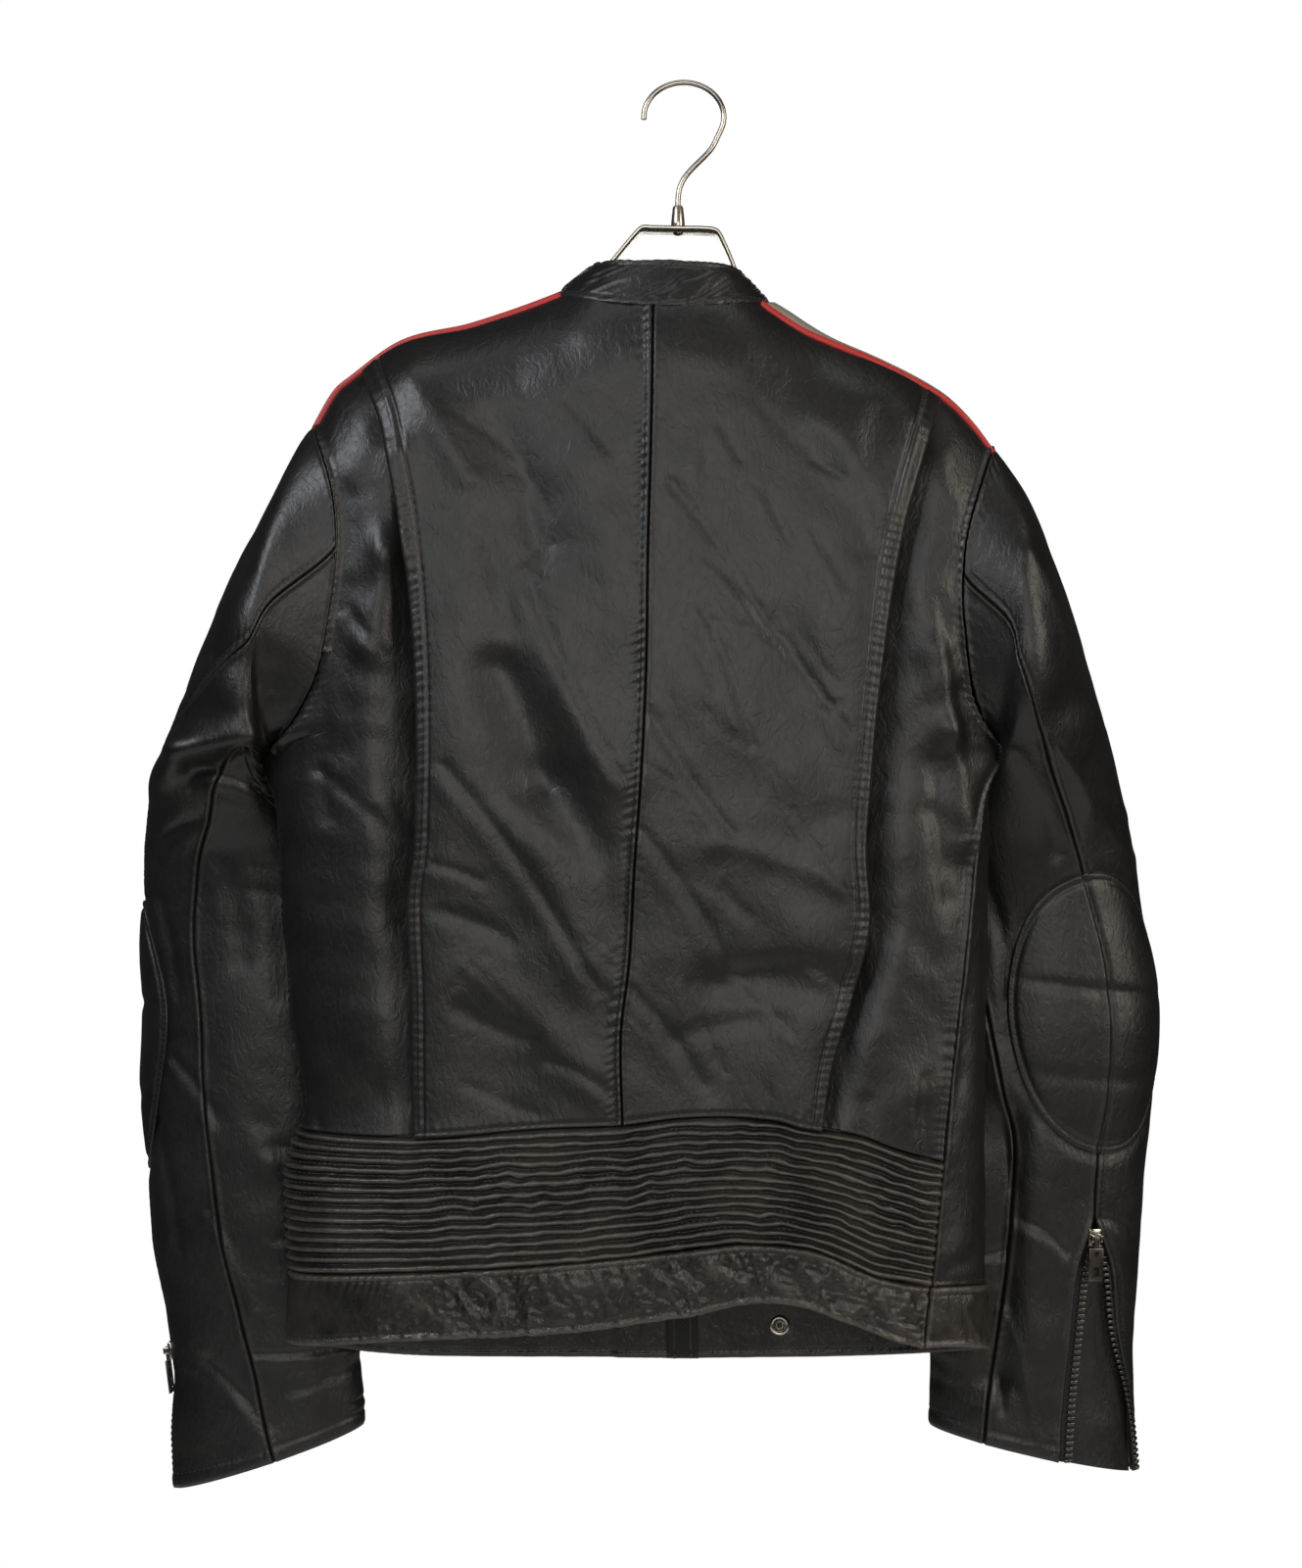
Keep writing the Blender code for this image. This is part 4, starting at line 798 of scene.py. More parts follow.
def mesh_object(name: str, points: Array, faces: list, finish: Material,
                wear: Array | None = None, smooth: bool = True) -> Piece:
    """Makes an object of points and faces.

    Args:
        name: its name.
        points: its points.
        faces: the points of each face.
        finish: its material.
        wear: how much lighter each point is drawn, from 0 to 1: rubbing along edges and painted highlights on
            folds, ribs and crinkles.
        smooth: whether it is shaded smooth.

    Returns:
        The object.
    """
    mesh = bpy.data.meshes.new(name)
    mesh.from_pydata(np.asarray(points, float).reshape(-1, 3).tolist(), [], faces)
    mesh.update()
    if wear is not None:
        kept = mesh.attributes.new("wear", "FLOAT", "POINT")
        kept.data.foreach_set("value", wear.astype(np.float32).ravel())
    if smooth:
        mesh.shade_smooth()
    mesh.materials.append(finish)
    return linked(name, mesh)


def grid_faces(rows: int, columns: int, turned: bool) -> Array:
    """The faces of a grid of points."""
    index = np.arange(rows * columns).reshape(rows, columns)
    around = [index[:-1, :-1], index[:-1, 1:], index[1:, 1:], index[1:, :-1]]
    return np.stack(around[::-1] if turned else around, -1).reshape(-1, 4)


def kept_places(count: int) -> Array:
    """The rows or columns of an inner side: the first 16, which hold a fold, every third, and the last 8."""
    first, last, every = 16, 8, 3
    inner = np.arange(first, count - last, every)
    return np.unique(np.concatenate([np.arange(first), inner, np.arange(count - last, count)]))


def lowest_near(lift: Array, reach: int = 3) -> Array:
    """The lowest lift within some rows and columns of each point, to keep an inner side under the skin."""
    for axis in (0, 1):
        wide = np.pad(lift, [(reach, reach) if axis == k else (0, 0) for k in (0, 1)], mode="edge")
        slices = [np.take(wide, np.arange(lift.shape[axis]) + k, axis=axis) for k in range(2 * reach + 1)]
        lift = np.minimum.reduce(slices)
    return lift


def shell(name: str, skin: Array, flesh: Array, turned: bool, finish: Material,
          wear: Array | None = None, sparse: bool = False) -> Piece:
    """A thin closed wall between two grids.

    Args:
        name: the piece's name.
        skin: the outer grid.
        flesh: the inner grid.
        turned: whether the grid's own normals point inward.
        finish: the piece's material.
        wear: how much lighter each skin point is drawn, for rubbing and for painted highlights.
        sparse: whether the inner side keeps fewer points than the skin.

    Returns:
        The object.
    """
    rows, columns = skin.shape[:2]
    kept_rows = kept_places(rows) if sparse else np.arange(rows)
    kept_columns = kept_places(columns) if sparse else np.arange(columns)
    inner = flesh[np.ix_(kept_rows, kept_columns)]
    index = np.arange(rows * columns).reshape(rows, columns)
    inner_index = rows * columns + np.arange(inner.shape[0] * inner.shape[1]).reshape(inner.shape[:2])
    sides = [
        (index[0], inner_index[0], kept_columns), (index[:, -1], inner_index[:, -1], kept_rows),
        (index[-1, ::-1], inner_index[-1, ::-1], columns - 1 - kept_columns[::-1]),
        (index[::-1, 0], inner_index[::-1, 0], rows - 1 - kept_rows[::-1]),
    ]
    faces = grid_faces(rows, columns, turned).tolist()
    faces += (grid_faces(*inner.shape[:2], not turned) + rows * columns).tolist()
    for outer_run, inner_run, kept in sides:
        for n in range(len(kept) - 1):
            rim = outer_run[kept[n] + 1:kept[n + 1] + 1]
            face = [outer_run[kept[n]], inner_run[n], inner_run[n + 1], *rim[::-1]]
            faces.append([int(k) for k in (face[::-1] if turned else face)])
    both = None
    if wear is not None:
        both = np.concatenate([wear.ravel(), 0.3 * wear[np.ix_(kept_rows, kept_columns)].ravel()])
    points = np.concatenate([skin.reshape(-1, 3), inner.reshape(-1, 3)])
    return mesh_object(name, points, faces, finish, both)


def template(build: Callable[[bmesh.types.BMesh], None]) -> tuple[Array, list]:
    """The points and faces of a small shape that is used many times."""
    shape = bmesh.new()
    build(shape)
    shape.verts.ensure_lookup_table()
    points = np.array([vert.co for vert in shape.verts])
    faces = [[vert.index for vert in face.verts] for face in shape.faces]
    shape.free()
    return points, faces


def strewn(name: str, shape: tuple[Array, list], frames: Array, places: Array,
           finish: Material) -> Piece:
    """Many copies of a small shape as one object.

    Args:
        name: the object's name.
        shape: the small shape's points and faces.
        frames: each copy's three directions, as rows.
        places: where each copy's centre is.
        finish: the material.

    Returns:
        The object.
    """
    points, faces = shape
    made = np.einsum("pk,nkx->npx", points, frames) + places[:, None]
    all_faces = [[i + len(points) * n for i in face] for n in range(len(places)) for face in faces]
    return mesh_object(name, made, all_faces, finish)


def block(size: Sequence[float], bevel: float, segments: int = 1) -> tuple[Array, list]:
    """A block with rounded edges round the origin."""

    def build(shape: bmesh.types.BMesh) -> None:
        """Makes the block."""
        bmesh.ops.create_cube(shape, size=1, matrix=Matrix.Diagonal((*size, 1)))
        bmesh.ops.bevel(shape, geom=shape.edges[:] + shape.verts[:], offset=bevel, segments=segments,
                        affect="EDGES", profile=0.5)

    return template(build)


class Thread:
    """Rows of stitches, gathered into one piece for each sub-assembly."""

    def __init__(self, name: str, length: float = 2.7 * MM, pitch: float = 3.6 * MM,
                 width: float = 0.85 * MM) -> None:
        """Starts the piece.

        Args:
            name: the piece's name.
            length: how much of a stitch shows.
            pitch: from one stitch to the next; drawn a little longer than the real 3 mm so that it shows.
            width: the thread's width.
        """
        self.name, self.pitch = name, pitch
        self.shape = (np.array([(length * x, width * y, width * z) for x, y, z in (
            (-0.5, 0, -0.5), (-0.28, -0.5, 0), (-0.28, 0, 0.5), (-0.28, 0.5, 0),
            (0.28, -0.5, 0), (0.28, 0, 0.5), (0.28, 0.5, 0), (0.5, 0, -0.5))]),
            [[0, 1, 2], [0, 2, 3], [1, 4, 5, 2], [2, 5, 6, 3], [4, 7, 5], [5, 7, 6]])
        self.places: list[Array] = []
        self.frames: list[Array] = []

    def row(self, points: Array, outward: Array, sunk: float = 0.12 * MM) -> None:
        """Adds a row of stitches along a line on a skin.

        Args:
            points: the line.
            outward: the outward direction at each of its points.
            sunk: how far the thread sits into the leather.
        """
        away = travelled(points)
        at = np.arange(self.pitch, away[-1] - self.pitch / 2, self.pitch)
        if not len(at):
            return
        run = unit(between(at + MM, away, points) - between(at - MM, away, points))
        facing = unit(between(at, away, outward))
        facing = unit(facing - run * np.sum(run * facing, axis=-1, keepdims=True))
        self.places.append(between(at, away, points) - facing * sunk)
        self.frames.append(np.stack([run, np.cross(facing, run), facing], 1))

    def build(self, finish: Material) -> None:
        """Makes the piece."""
        frames, places = np.concatenate(self.frames), np.concatenate(self.places)
        made = strewn(self.name, self.shape, frames, places, finish)
        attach(made, "jacket")
        LOG.info("%s: %d stitches", made.name, len(places))


@dataclass
class Panel:
    """A cut and sewn panel of leather, as a thin shell on its solid's form."""

    node: str
    net: Net
    borders: dict[Border, Sewn]
    seed: float
    thickness: float = 1.4 * MM
    skin_off: float = 1.4 * MM  # how far the skin stands off the net
    relief: Values = 0.0
    # how much lighter the skin is drawn: rubbing, and painted highlights on tops of ridges and welts
    wear: Values = 0.0
    hills: float = 0.5 * MM
    inner: dict[Border, Sewn] | None = None  # how the flesh side's borders are sewn, where it is seen
    inner_relief: Values = 0.0
    deepest: float = -18 * MM
    thinnest: float = 0.3 * MM  # how far a hidden flesh side stays clear of the skin's lowest places
    skin: Array = field(init=False)

    def build(self, finish: Material, thread: Thread | None = None) -> None:
        """Args:
            finish: its material.
            thread: what its stitches are added to.
        """
        net = self.net
        sewn, worn = net.sewn(self.borders, self.seed)
        x, z = net.points[..., 0] + net.points[..., 1] * 0.6, net.points[..., 2]
        rolling = HILLS(x + self.seed, z, 34 * MM) + 0.45 * HILLS(x * 0.8 + z * 0.5, z - x * 0.4, 15 * MM)
        lift = np.maximum(sewn + self.relief + self.hills * rolling, self.deepest)
        self.skin = net.points + net.outward * (self.skin_off + lift)[..., None]
        under = lowest_near(lift) + self.skin_off - self.thickness - self.thinnest
        if self.inner:
            facing_lift = net.sewn(self.inner, self.seed + 0.5)[0]
            under = self.skin_off - self.thickness - self.inner_relief - facing_lift
        flesh = net.points + net.outward * (under + 0 * lift)[..., None]
        made = shell(f"{self.node}_panel", self.skin, flesh, net.turned, finish,
                     np.clip(np.maximum(worn, self.wear), 0, 1), sparse=not self.inner)
        stand_in(made, self.node)
        declare_sheet(made, net.width, net.length, net.area)
        if not thread:
            return
        for sewn_borders, surface, way in ((self.borders, self.skin, 1), (self.inner or {}, flesh, -1)):
            for border, seam in sewn_borders.items():
                if seam.stitch:
                    points, facing = net.row_at(border, seam.stitch, surface)
                    thread.row(points, way * facing)


# ----------------------------------------------------------------------------------------------- finishes


def linear(code: str) -> tuple[float, float, float, float]:
    """A colour from its sRGB hex code, as the shader takes it."""
    values = [int(code[i:i + 2], 16) / 255 for i in (1, 3, 5)]
    red, green, blue = (v / 12.92 if v <= 0.04045 else ((v + 0.055) / 1.055) ** 2.4 for v in values)
    return red, green, blue, 1.0


def feed(tree: bpy.types.NodeTree, node: bpy.types.Node, inputs: dict) -> None:
    """Sets a node's inputs: each to a value, a socket or another node's first output."""
    for key, value in inputs.items():
        if isinstance(value, bpy.types.Node):
            value = value.outputs[0]
        if isinstance(value, bpy.types.NodeSocket):
            tree.links.new(value, node.inputs[key])
        else:
            node.inputs[key].default_value = value


def add_node(tree: bpy.types.NodeTree, kind: str, inputs: dict | None = None,
             **settings: object) -> bpy.types.Node:
    """Adds a node with its settings and links.

    Args:
        tree: the material's nodes.
        kind: the node's type without its prefix.
        inputs: what each input is fed with.
        settings: the node's own settings.

    Returns:
        The node.
    """
    made = tree.nodes.new("ShaderNode" + kind)
    for key, value in settings.items():
        setattr(made, key, value)
    feed(tree, made, inputs or {})
    return made


def new_surface(name: str) -> tuple[Material, bpy.types.NodeTree, bpy.types.Node,
                                    bpy.types.NodeSocket]:
    """An empty material with its nodes, its shader and its coordinates in metres."""
    surface = bpy.data.materials.new(name)
    surface.use_nodes = True
    tree = surface.node_tree
    place = add_node(tree, "TexCoord").outputs["Object"]
    return surface, tree, tree.nodes["Principled BSDF"], place


@dataclass(frozen=True)
class Leather:
    """Cowhide, drum dyed and finished with a thin clear coat: a soft sheen over pores and fine creases."""

    name: str
    colour: str
    # the lighter colour, for rubbing along edges and for painted highlights on folds, ribs and crinkles
    worn: str
    roughness: float = 0.38
    grain: float = 1.1 * MM  # pores of cowhide, at their real spacing
    grain_depth: float = 0.05 * MM
    crease: float = 7 * MM  # fine creases between the modelled ones
    crease_depth: float = 0.35 * MM
    patches: float = 38 * MM  # where the hide took more or less dye

    def material(self) -> Material:
        """Makes the material."""
        surface, tree, shader, place = new_surface(self.name)
        patch = add_node(tree, "TexNoise", {"Vector": place, "Scale": 1 / self.patches, "Detail": 3.0,
                                            "Roughness": 0.6})
        # The lightening mask, broken up by scuff noise, mixes in the lighter colour: rubbing along edges, and
        # painted highlights on the pleat's fold, the ribs and the crinkles.
        wear = add_node(tree, "Attribute", attribute_name="wear")
        scuffs = add_node(tree, "TexNoise", {"Vector": place, "Scale": 1 / (3 * MM), "Detail": 4.0})
        rubbed_and_highlit = add_node(tree, "Math", {0: wear.outputs["Fac"], 1: scuffs}, operation="MULTIPLY")
        shade = add_node(tree, "MapRange", {"Value": patch, "From Min": 0.35, "From Max": 0.7,
                                            "To Min": 0.0, "To Max": 0.2})
        mix = add_node(tree, "Math", {0: rubbed_and_highlit, 1: shade}, operation="ADD", use_clamp=True)
        ramp = add_node(tree, "Mix", {"Factor": mix.outputs[0], "A": linear(self.colour),
                                      "B": linear(self.worn)}, data_type="RGBA")
        gloss = add_node(tree, "MapRange", {"Value": scuffs, "To Min": self.roughness - 0.07,
                                            "To Max": self.roughness + 0.12})
        bent = add_node(tree, "TexNoise", {"Vector": place, "Scale": 1 / (16 * MM), "Detail": 2.0})
        wander = add_node(tree, "VectorMath", {0: bent.outputs["Color"], "Scale": 12 * MM}, operation="SCALE")
        moved = add_node(tree, "VectorMath", {0: place, 1: wander}, operation="ADD")
        long = add_node(tree, "Mapping", {"Vector": moved, "Rotation": (0, math.radians(-35), 0),
                                          "Scale": (1.0, 1.0, 0.45)})
        fine = add_node(tree, "TexNoise", {"Vector": long, "Scale": 1 / self.crease, "Detail": 3.0,
                                           "Roughness": 0.55})
        middle = add_node(tree, "Math", {0: fine, 1: 0.5}, operation="SUBTRACT")
        fold = add_node(tree, "Math", {0: middle}, operation="ABSOLUTE")
        narrow = add_node(tree, "MapRange", {"Value": fold, "From Min": 0.0, "From Max": 0.12})
        creased = add_node(tree, "Bump", {"Height": narrow, "Strength": 0.35, "Distance": self.crease_depth})
        pores = add_node(tree, "TexVoronoi", {"Vector": place, "Scale": 1 / self.grain, "Randomness": 1.0})
        grained = add_node(tree, "Bump", {"Height": pores, "Strength": 0.6, "Distance": self.grain_depth,
                                          "Normal": creased})
        feed(tree, shader, {"Base Color": ramp.outputs["Result"], "Roughness": gloss, "Normal": grained,
                            "IOR": 1.5, "Coat Weight": 0.12, "Coat Roughness": 0.35})
        return surface


@dataclass(frozen=True)
class PlatedMetal:
    """Nickel over steel or zinc: warm grey, satin where it was brushed and bright where it was polished."""

    name: str
    colour: str
    roughness: float
    brush: float = 0.0  # how strongly the brush marks show
    marks: float = 0.5 * MM  # spacing of the marks, drawn coarser than the real ones so that they show

    def material(self) -> Material:
        """Makes the material."""
        surface, tree, shader, place = new_surface(self.name)
        haze = add_node(tree, "TexNoise", {"Vector": place, "Scale": 1 / (9 * MM), "Detail": 3.0})
        tone = add_node(tree, "MapRange", {"Value": haze, "From Min": 0.3, "From Max": 0.7,
                                           "To Min": self.roughness - 0.05, "To Max": self.roughness + 0.07})
        long = add_node(tree, "Mapping", {"Vector": place, "Scale": (0.08, 1.0, 0.08)})
        brushed = add_node(tree, "TexNoise", {"Vector": long, "Scale": 1 / self.marks, "Detail": 2.0})
        bump = add_node(tree, "Bump", {"Height": brushed, "Strength": self.brush, "Distance": 0.02 * MM})
        feed(tree, shader, {"Base Color": linear(self.colour), "Metallic": 1.0, "Roughness": tone,
                            "Normal": bump})
        return surface


@dataclass(frozen=True)
class Woven:
    """Polyester tape or twisted thread: matt, with the weave or the twist just visible."""

    name: str
    colour: str
    pitch: float = 0.7 * MM  # between the threads, drawn coarser than the real 0.4 mm so that it shows
    roughness: float = 0.75

    def material(self) -> Material:
        """Makes the material."""
        surface, tree, shader, place = new_surface(self.name)
        wave = add_node(tree, "TexWave", {"Vector": place, "Scale": 1 / (self.pitch * math.tau),
                                          "Distortion": 0.6}, wave_type="BANDS", bands_direction="DIAGONAL")
        rough = add_node(tree, "MapRange", {"Value": wave.outputs["Fac"], "To Min": self.roughness - 0.1,
                                            "To Max": self.roughness + 0.1})
        bump = add_node(tree, "Bump", {"Height": wave.outputs["Fac"], "Strength": 0.5, "Distance": 0.08 * MM})
        feed(tree, shader, {"Base Color": linear(self.colour), "Roughness": rough, "Normal": bump,
                            "Sheen Weight": 0.2})
        return surface


@dataclass
class Finishes:
    """Every finish of the jacket and its hanger, made once."""

    hide: Material = field(default_factory=Leather("black_cowhide", "#111111", "#3a3835").material)
    # The lighter colour of the creased hide paints highlights on the tops of the ribs and of the crinkles,
    # besides rubbing along edges.
    hem_hide: Material = field(default_factory=Leather(
        "creased_black_cowhide", "#131211", "#6a645a", 0.34, crease=6 * MM, crease_depth=0.5 * MM).material)
    stripe: Material = field(default_factory=Leather(
        "grey_cowhide", "#8a8578", "#a8a294", 0.5, crease_depth=0.15 * MM).material)
    piping: Material = field(default_factory=Leather(
        "red_cowhide", "#b8231f", "#d4544a", 0.42, crease_depth=0.12 * MM).material)
    nickel: Material = field(default_factory=PlatedMetal(
        "satin_nickel", "#c3bcb0", 0.27, 0.35).material)
    bright: Material = field(default_factory=PlatedMetal("bright_nickel", "#d2cdc4", 0.18).material)
    gunmetal: Material = field(default_factory=PlatedMetal("black_nickel", "#6a6661", 0.3).material)
    tape: Material = field(default_factory=Woven("zip_tape_weave", "#141414").material)
    thread: Material = field(default_factory=Woven(
        "polyester_thread", "#1d1c1c", 0.5 * MM, 0.6).material)


# --------------------------------------------------------------------------------------------------- body


def grid(columns: Array, rows: Array) -> tuple[Array, Array]:
    """Shares across and up for a net."""
    u, v = np.meshgrid(columns, rows)
    return u, v


def shares(length: float, step: float, coarse: float | None = None, fine_until: float = 1.0) -> Array:
    """Places along a length as shares of it, closer together near both ends, where the leather rolls over.

    Args:
        length: the length in metres.
        step: the distance between places away from the ends.
        coarse: the distance in the part that is hidden in front, or None if there is none.
        fine_until: the share at which that part starts.

    Returns:
        The shares from 0 to 1.
    """
    near = np.array([0, 0.4, 0.8, 1.2, 1.7, 2.3, 3.1, 4.0, 5.0]) * MM / length
    split = min(max(fine_until, near[-1]), 1 - near[-1])
    middle = np.linspace(near[-1], split, max(int((split - near[-1]) * length / step), 2))
    if coarse and fine_until < 1 - 2 * near[-1]:
        rest = np.linspace(split, 1 - near[-1], max(int((1 - near[-1] - split) * length / coarse), 2))
        middle = np.concatenate([middle, rest[1:]])
    return np.concatenate([near[:-1], middle, 1 - near[-2::-1]])


def trunk_net(patch: Patch, columns: Array, rows: Array) -> Net:
    """A net on the torso over a patch."""
    place = patch.at(*grid(columns, rows))
    points = TRUNK.point(place[..., 0], place[..., 1])
    return Net(points, points * [0, 0, 1] + [BODY_MIDDLE[0], 0, 0])


def facing_back(points: Array, rows: Rows) -> Array:
    """The lift of a table of creases on the torso's back."""
    return creases(rows, points[..., 0], points[..., 2])


def zip_top() -> float:
    """The height at which the closed front zip meets the collar."""
    return float(top_edge(COLLAR_FRONT_AT, Face.FRONT_LEFT)(np.array(ZIP_LINE[-1][1] * MM)))


def underarm_puff(net: Net, border: Border) -> Array:
    """The lift of the body where the sleeve pushes its side seam out below the armhole."""
    underarm, standing = -412 * MM, 9.5 * MM
    return standing * hump(net.points[..., 2] - underarm, 20 * MM) * hump(net.away[border], 18 * MM)


@dataclass
class Back:
    """The action back: two centre panels folded over the side panels, the ribbed waist and the hem band."""

    finishes: Finishes
    fold_lap: float = 12 * MM
    under_height: float = 3.0 * MM
    fold_height: float = 6.9 * MM
    fold_stitch: float = 7.5 * MM
    centre_width: float = 140 * MM
    centre_length: float = 490 * MM
    leather: float = 1.4 * MM
    hem_thickness: float = 2.6 * MM
    rib_count: int = 14
    rows_per_rib: int = 12
    rib_height: float = 3.7 * MM
    step: float = 1.5 * MM
    underarm: float = 0.52  # the share of the outer border that lies below the underarm
    thread: Thread = field(default_factory=lambda: Thread("back_stitching"))

    def __post_init__(self) -> None:
        """Reads the seams."""
        self.rib_top, self.hem_seam, self.hem = Curve(RIB_TOP), Curve(HEM_SEAM), Curve(BACK_HEM)
        self.top = top_edge(COLLAR_BACK_AT, Face.BACK)
        strewn_rows = Scatter(3, 60, (-150, -640), (110, -180), -58, 26, (15, 60), (2.0, 4.5),
                              (0.12, 0.4)).rows()
        self.fine = list(BACK_CREASES) + list(strewn_rows)

    def waist_patch(self, low: Curve, high: Curve) -> Patch:
        """The area between two cross seams, from the left edge to the side seam at the right."""
        (low_left, low_right), (high_left, high_right) = ((c.keys[0], c.keys[-1]) for c in (low, high))
        return Patch(cross_line(low, low_left, low_right, Face.BACK),
                     cross_line(high, high_left, high_right, Face.BACK),
                     down_line(LEFT_EDGE, Face.BACK, float(low(low_left)), float(high(high_left))),
                     down_line(SIDE_SEAM_RIGHT, Face.BACK, float(low(low_right)), float(high(high_right))))

    def centre(self, side: Side) -> None:
        """Builds one centre panel, its columns from the leather turned under, round the fold, to the seam."""
        pleat = SEAMS[side].pleat
        outer_low, seam_low, seam_high = (row[1] * MM for row in (pleat[0], CENTRE_SEAM[0], CENTRE_SEAM[-1]))
        outer_x, outer_top = edge_x(pleat, self.top), meeting(pleat, self.top)
        seam_top = meeting(CENTRE_SEAM, self.top)
        seam = down_line(CENTRE_SEAM, Face.BACK, float(self.rib_top(seam_low)), seam_top)
        fold = down_line(pleat, Face.BACK, float(self.rib_top(outer_low)), outer_top)
        patch = Patch(cross_line(self.rib_top, outer_low, seam_low, Face.BACK),
                      cross_line(self.top, outer_x, seam_high, Face.BACK), fold, seam)
        width, length = self.centre_width, self.centre_length
        half, stitch = self.leather / 2, self.fold_stitch
        turned_under, bent = 4, 9
        first_over = turned_under + bent
        flat_low, flat_high = 0.6 * MM, 2.0 * MM
        rows = shares(length, self.step)
        pressed = ease((1 - rows) * length / (30 * MM))[:, None]
        low = flat_low + (self.under_height - flat_low) * pressed
        high = flat_high + (self.fold_height - flat_high) * pressed
        bend = (high - low) / 2
        turn = np.linspace(-math.pi / 2, math.pi / 2, bent)[None, :]
        past_bend = (self.fold_height - self.under_height) / 2 * 1.3
        under = np.linspace(self.fold_lap, past_bend, turned_under)[None, :] + 0 * rows[:, None]
        near_fold = np.arange(past_bend + 0.5 * MM, 13 * MM, 0.9 * MM)
        rest = width - (width - near_fold[-1] - 1.5 * MM) * (1 - shares(width, 2.0 * MM))
        over = np.concatenate([near_fold, rest])[None, :] + 0 * rows[:, None]
        settle = high + (half - high) * ease((over - 10 * MM) / (62 * MM))
        from_fold = np.concatenate([under, bend - bend * np.cos(turn), over], axis=1)
        middle = np.concatenate([low + 0 * under, (low + high) / 2 + bend * np.sin(turn), settle], axis=1)
        zero = np.zeros(over.shape)
        outward_turn = np.concatenate([zero[:, :turned_under], np.cos(turn) + 0 * bend, zero], axis=1)
        off_turn = np.concatenate([zero[:, :turned_under] - 1, np.sin(turn) + 0 * bend, zero + 1], axis=1)
        u, v = from_fold / width, rows[:, None] + 0 * from_fold
        place = patch.at(u, v)
        points, normal = (find(place[..., 0], place[..., 1]) for find in (TRUNK.point, TRUNK.normal))
        flat = Net(points[:, first_over:], BODY_MIDDLE)
        beside_fold = points[:, first_over + 1:first_over + 3]
        sideways = unit(np.gradient(beside_fold, axis=1)[:, :1]) * np.ones(points.shape)
        along = v * length
        folded = np.arange(u.shape[1])[None, :] >= first_over - 3
        groove = hump(from_fold - stitch, 0.9 * MM)
        ridge = hump(from_fold - stitch + 1.7 * MM, 0.9 * MM)
        swell = 0.7 + 0.35 * HILLS(along, 0.2, 60 * MM)
        inside = np.where(from_fold < stitch, 1.0, 0.45)
        pucker = swell * inside * hump(from_fold - 0.6 * stitch, 7 * MM)
        pucker = pucker * puffs(along + 0.3 * from_fold, side.value * 0.3, 5.8 * MM)
        lift = np.where(folded, -1.2 * MM * groove + 0.6 * MM * ridge + 0.3 * MM * pucker, 0.0)
        lift = lift + np.where(folded, facing_back(points, self.fine), 0.0)
        lift = lift + facing_back(points, BODY_FOLDS)
        broad = np.minimum(from_fold / (40 * MM), 1)
        lift = lift + 1.0 * MM * HILLS(points[..., 0], points[..., 2], 46 * MM) * broad
        lift = lift + 0.3 * MM * RIDGES(points[..., 0], points[..., 2], 16 * MM) * folded
        if side is Side.LEFT:
            seam_edge = Sewn(roll=0.4 * MM, raised=0.8 * MM, stitch=5.2 * MM, pucker=0.9 * MM)
        else:
            seam_edge = Sewn(roll=0.5 * MM, pucker=0.3 * MM)
        to_seam = (width - from_fold) * float(flat.width / width)
        lift = lift + seam_edge.lift(np.maximum(to_seam, 0), along, 5.0 + side.value)
        low_edge, high_edge = Sewn(stitch=3.2 * MM, pucker=0.6 * MM), Sewn(1.2 * MM)
        lift = lift + low_edge.lift(along, from_fold, 2.0 + side.value) * folded
        lift = lift + high_edge.lift(length - along, from_fold, 2.0 + side.value) * folded
        skin_dir = normal * off_turn[..., None] - sideways * outward_turn[..., None]
        centre_line = points + normal * (middle + lift)[..., None]
        inner_line = points + normal * np.where(folded, middle + lowest_near(lift), middle + lift)[..., None]
        skin, flesh = centre_line + skin_dir * half, inner_line - skin_dir * half
        # The fold's edge is drawn lighter, partly rubbing and partly a painted highlight, and the ridge
        # beside the stitch row is painted lighter as a highlight.
        wear = np.where(folded, 0.4 * hump(from_fold, 2.2 * MM) + 0.5 * ridge, 0.2)
        wear = np.maximum(wear, 0.6 * hump(to_seam - 2.2 * MM, 1.2 * MM))
        name = f"back_centre_{side.word}"
        made = shell(f"{name}_panel", skin, flesh, flat.turned, self.finishes.hide, np.clip(wear, 0, 1), True)
        stand_in(made, name)
        hidden = self.fold_lap + 5 * MM
        declare_sheet(made, flat.width + hidden, flat.length, flat.area + hidden * flat.length * 0.97)
        columns = [from_fold[0, first_over:] - stitch]
        if side is Side.LEFT:
            columns.append(to_seam[0, first_over:] - seam_edge.stitch)
        for apart in columns:
            column = int(np.argmin(np.abs(apart))) + first_over
            self.thread.row(skin[:, column], normal[:, column])
        row = int(np.argmin(np.abs(along[:, 0] - low_edge.stitch)))
        self.thread.row(skin[row, first_over:], normal[row, first_over:])

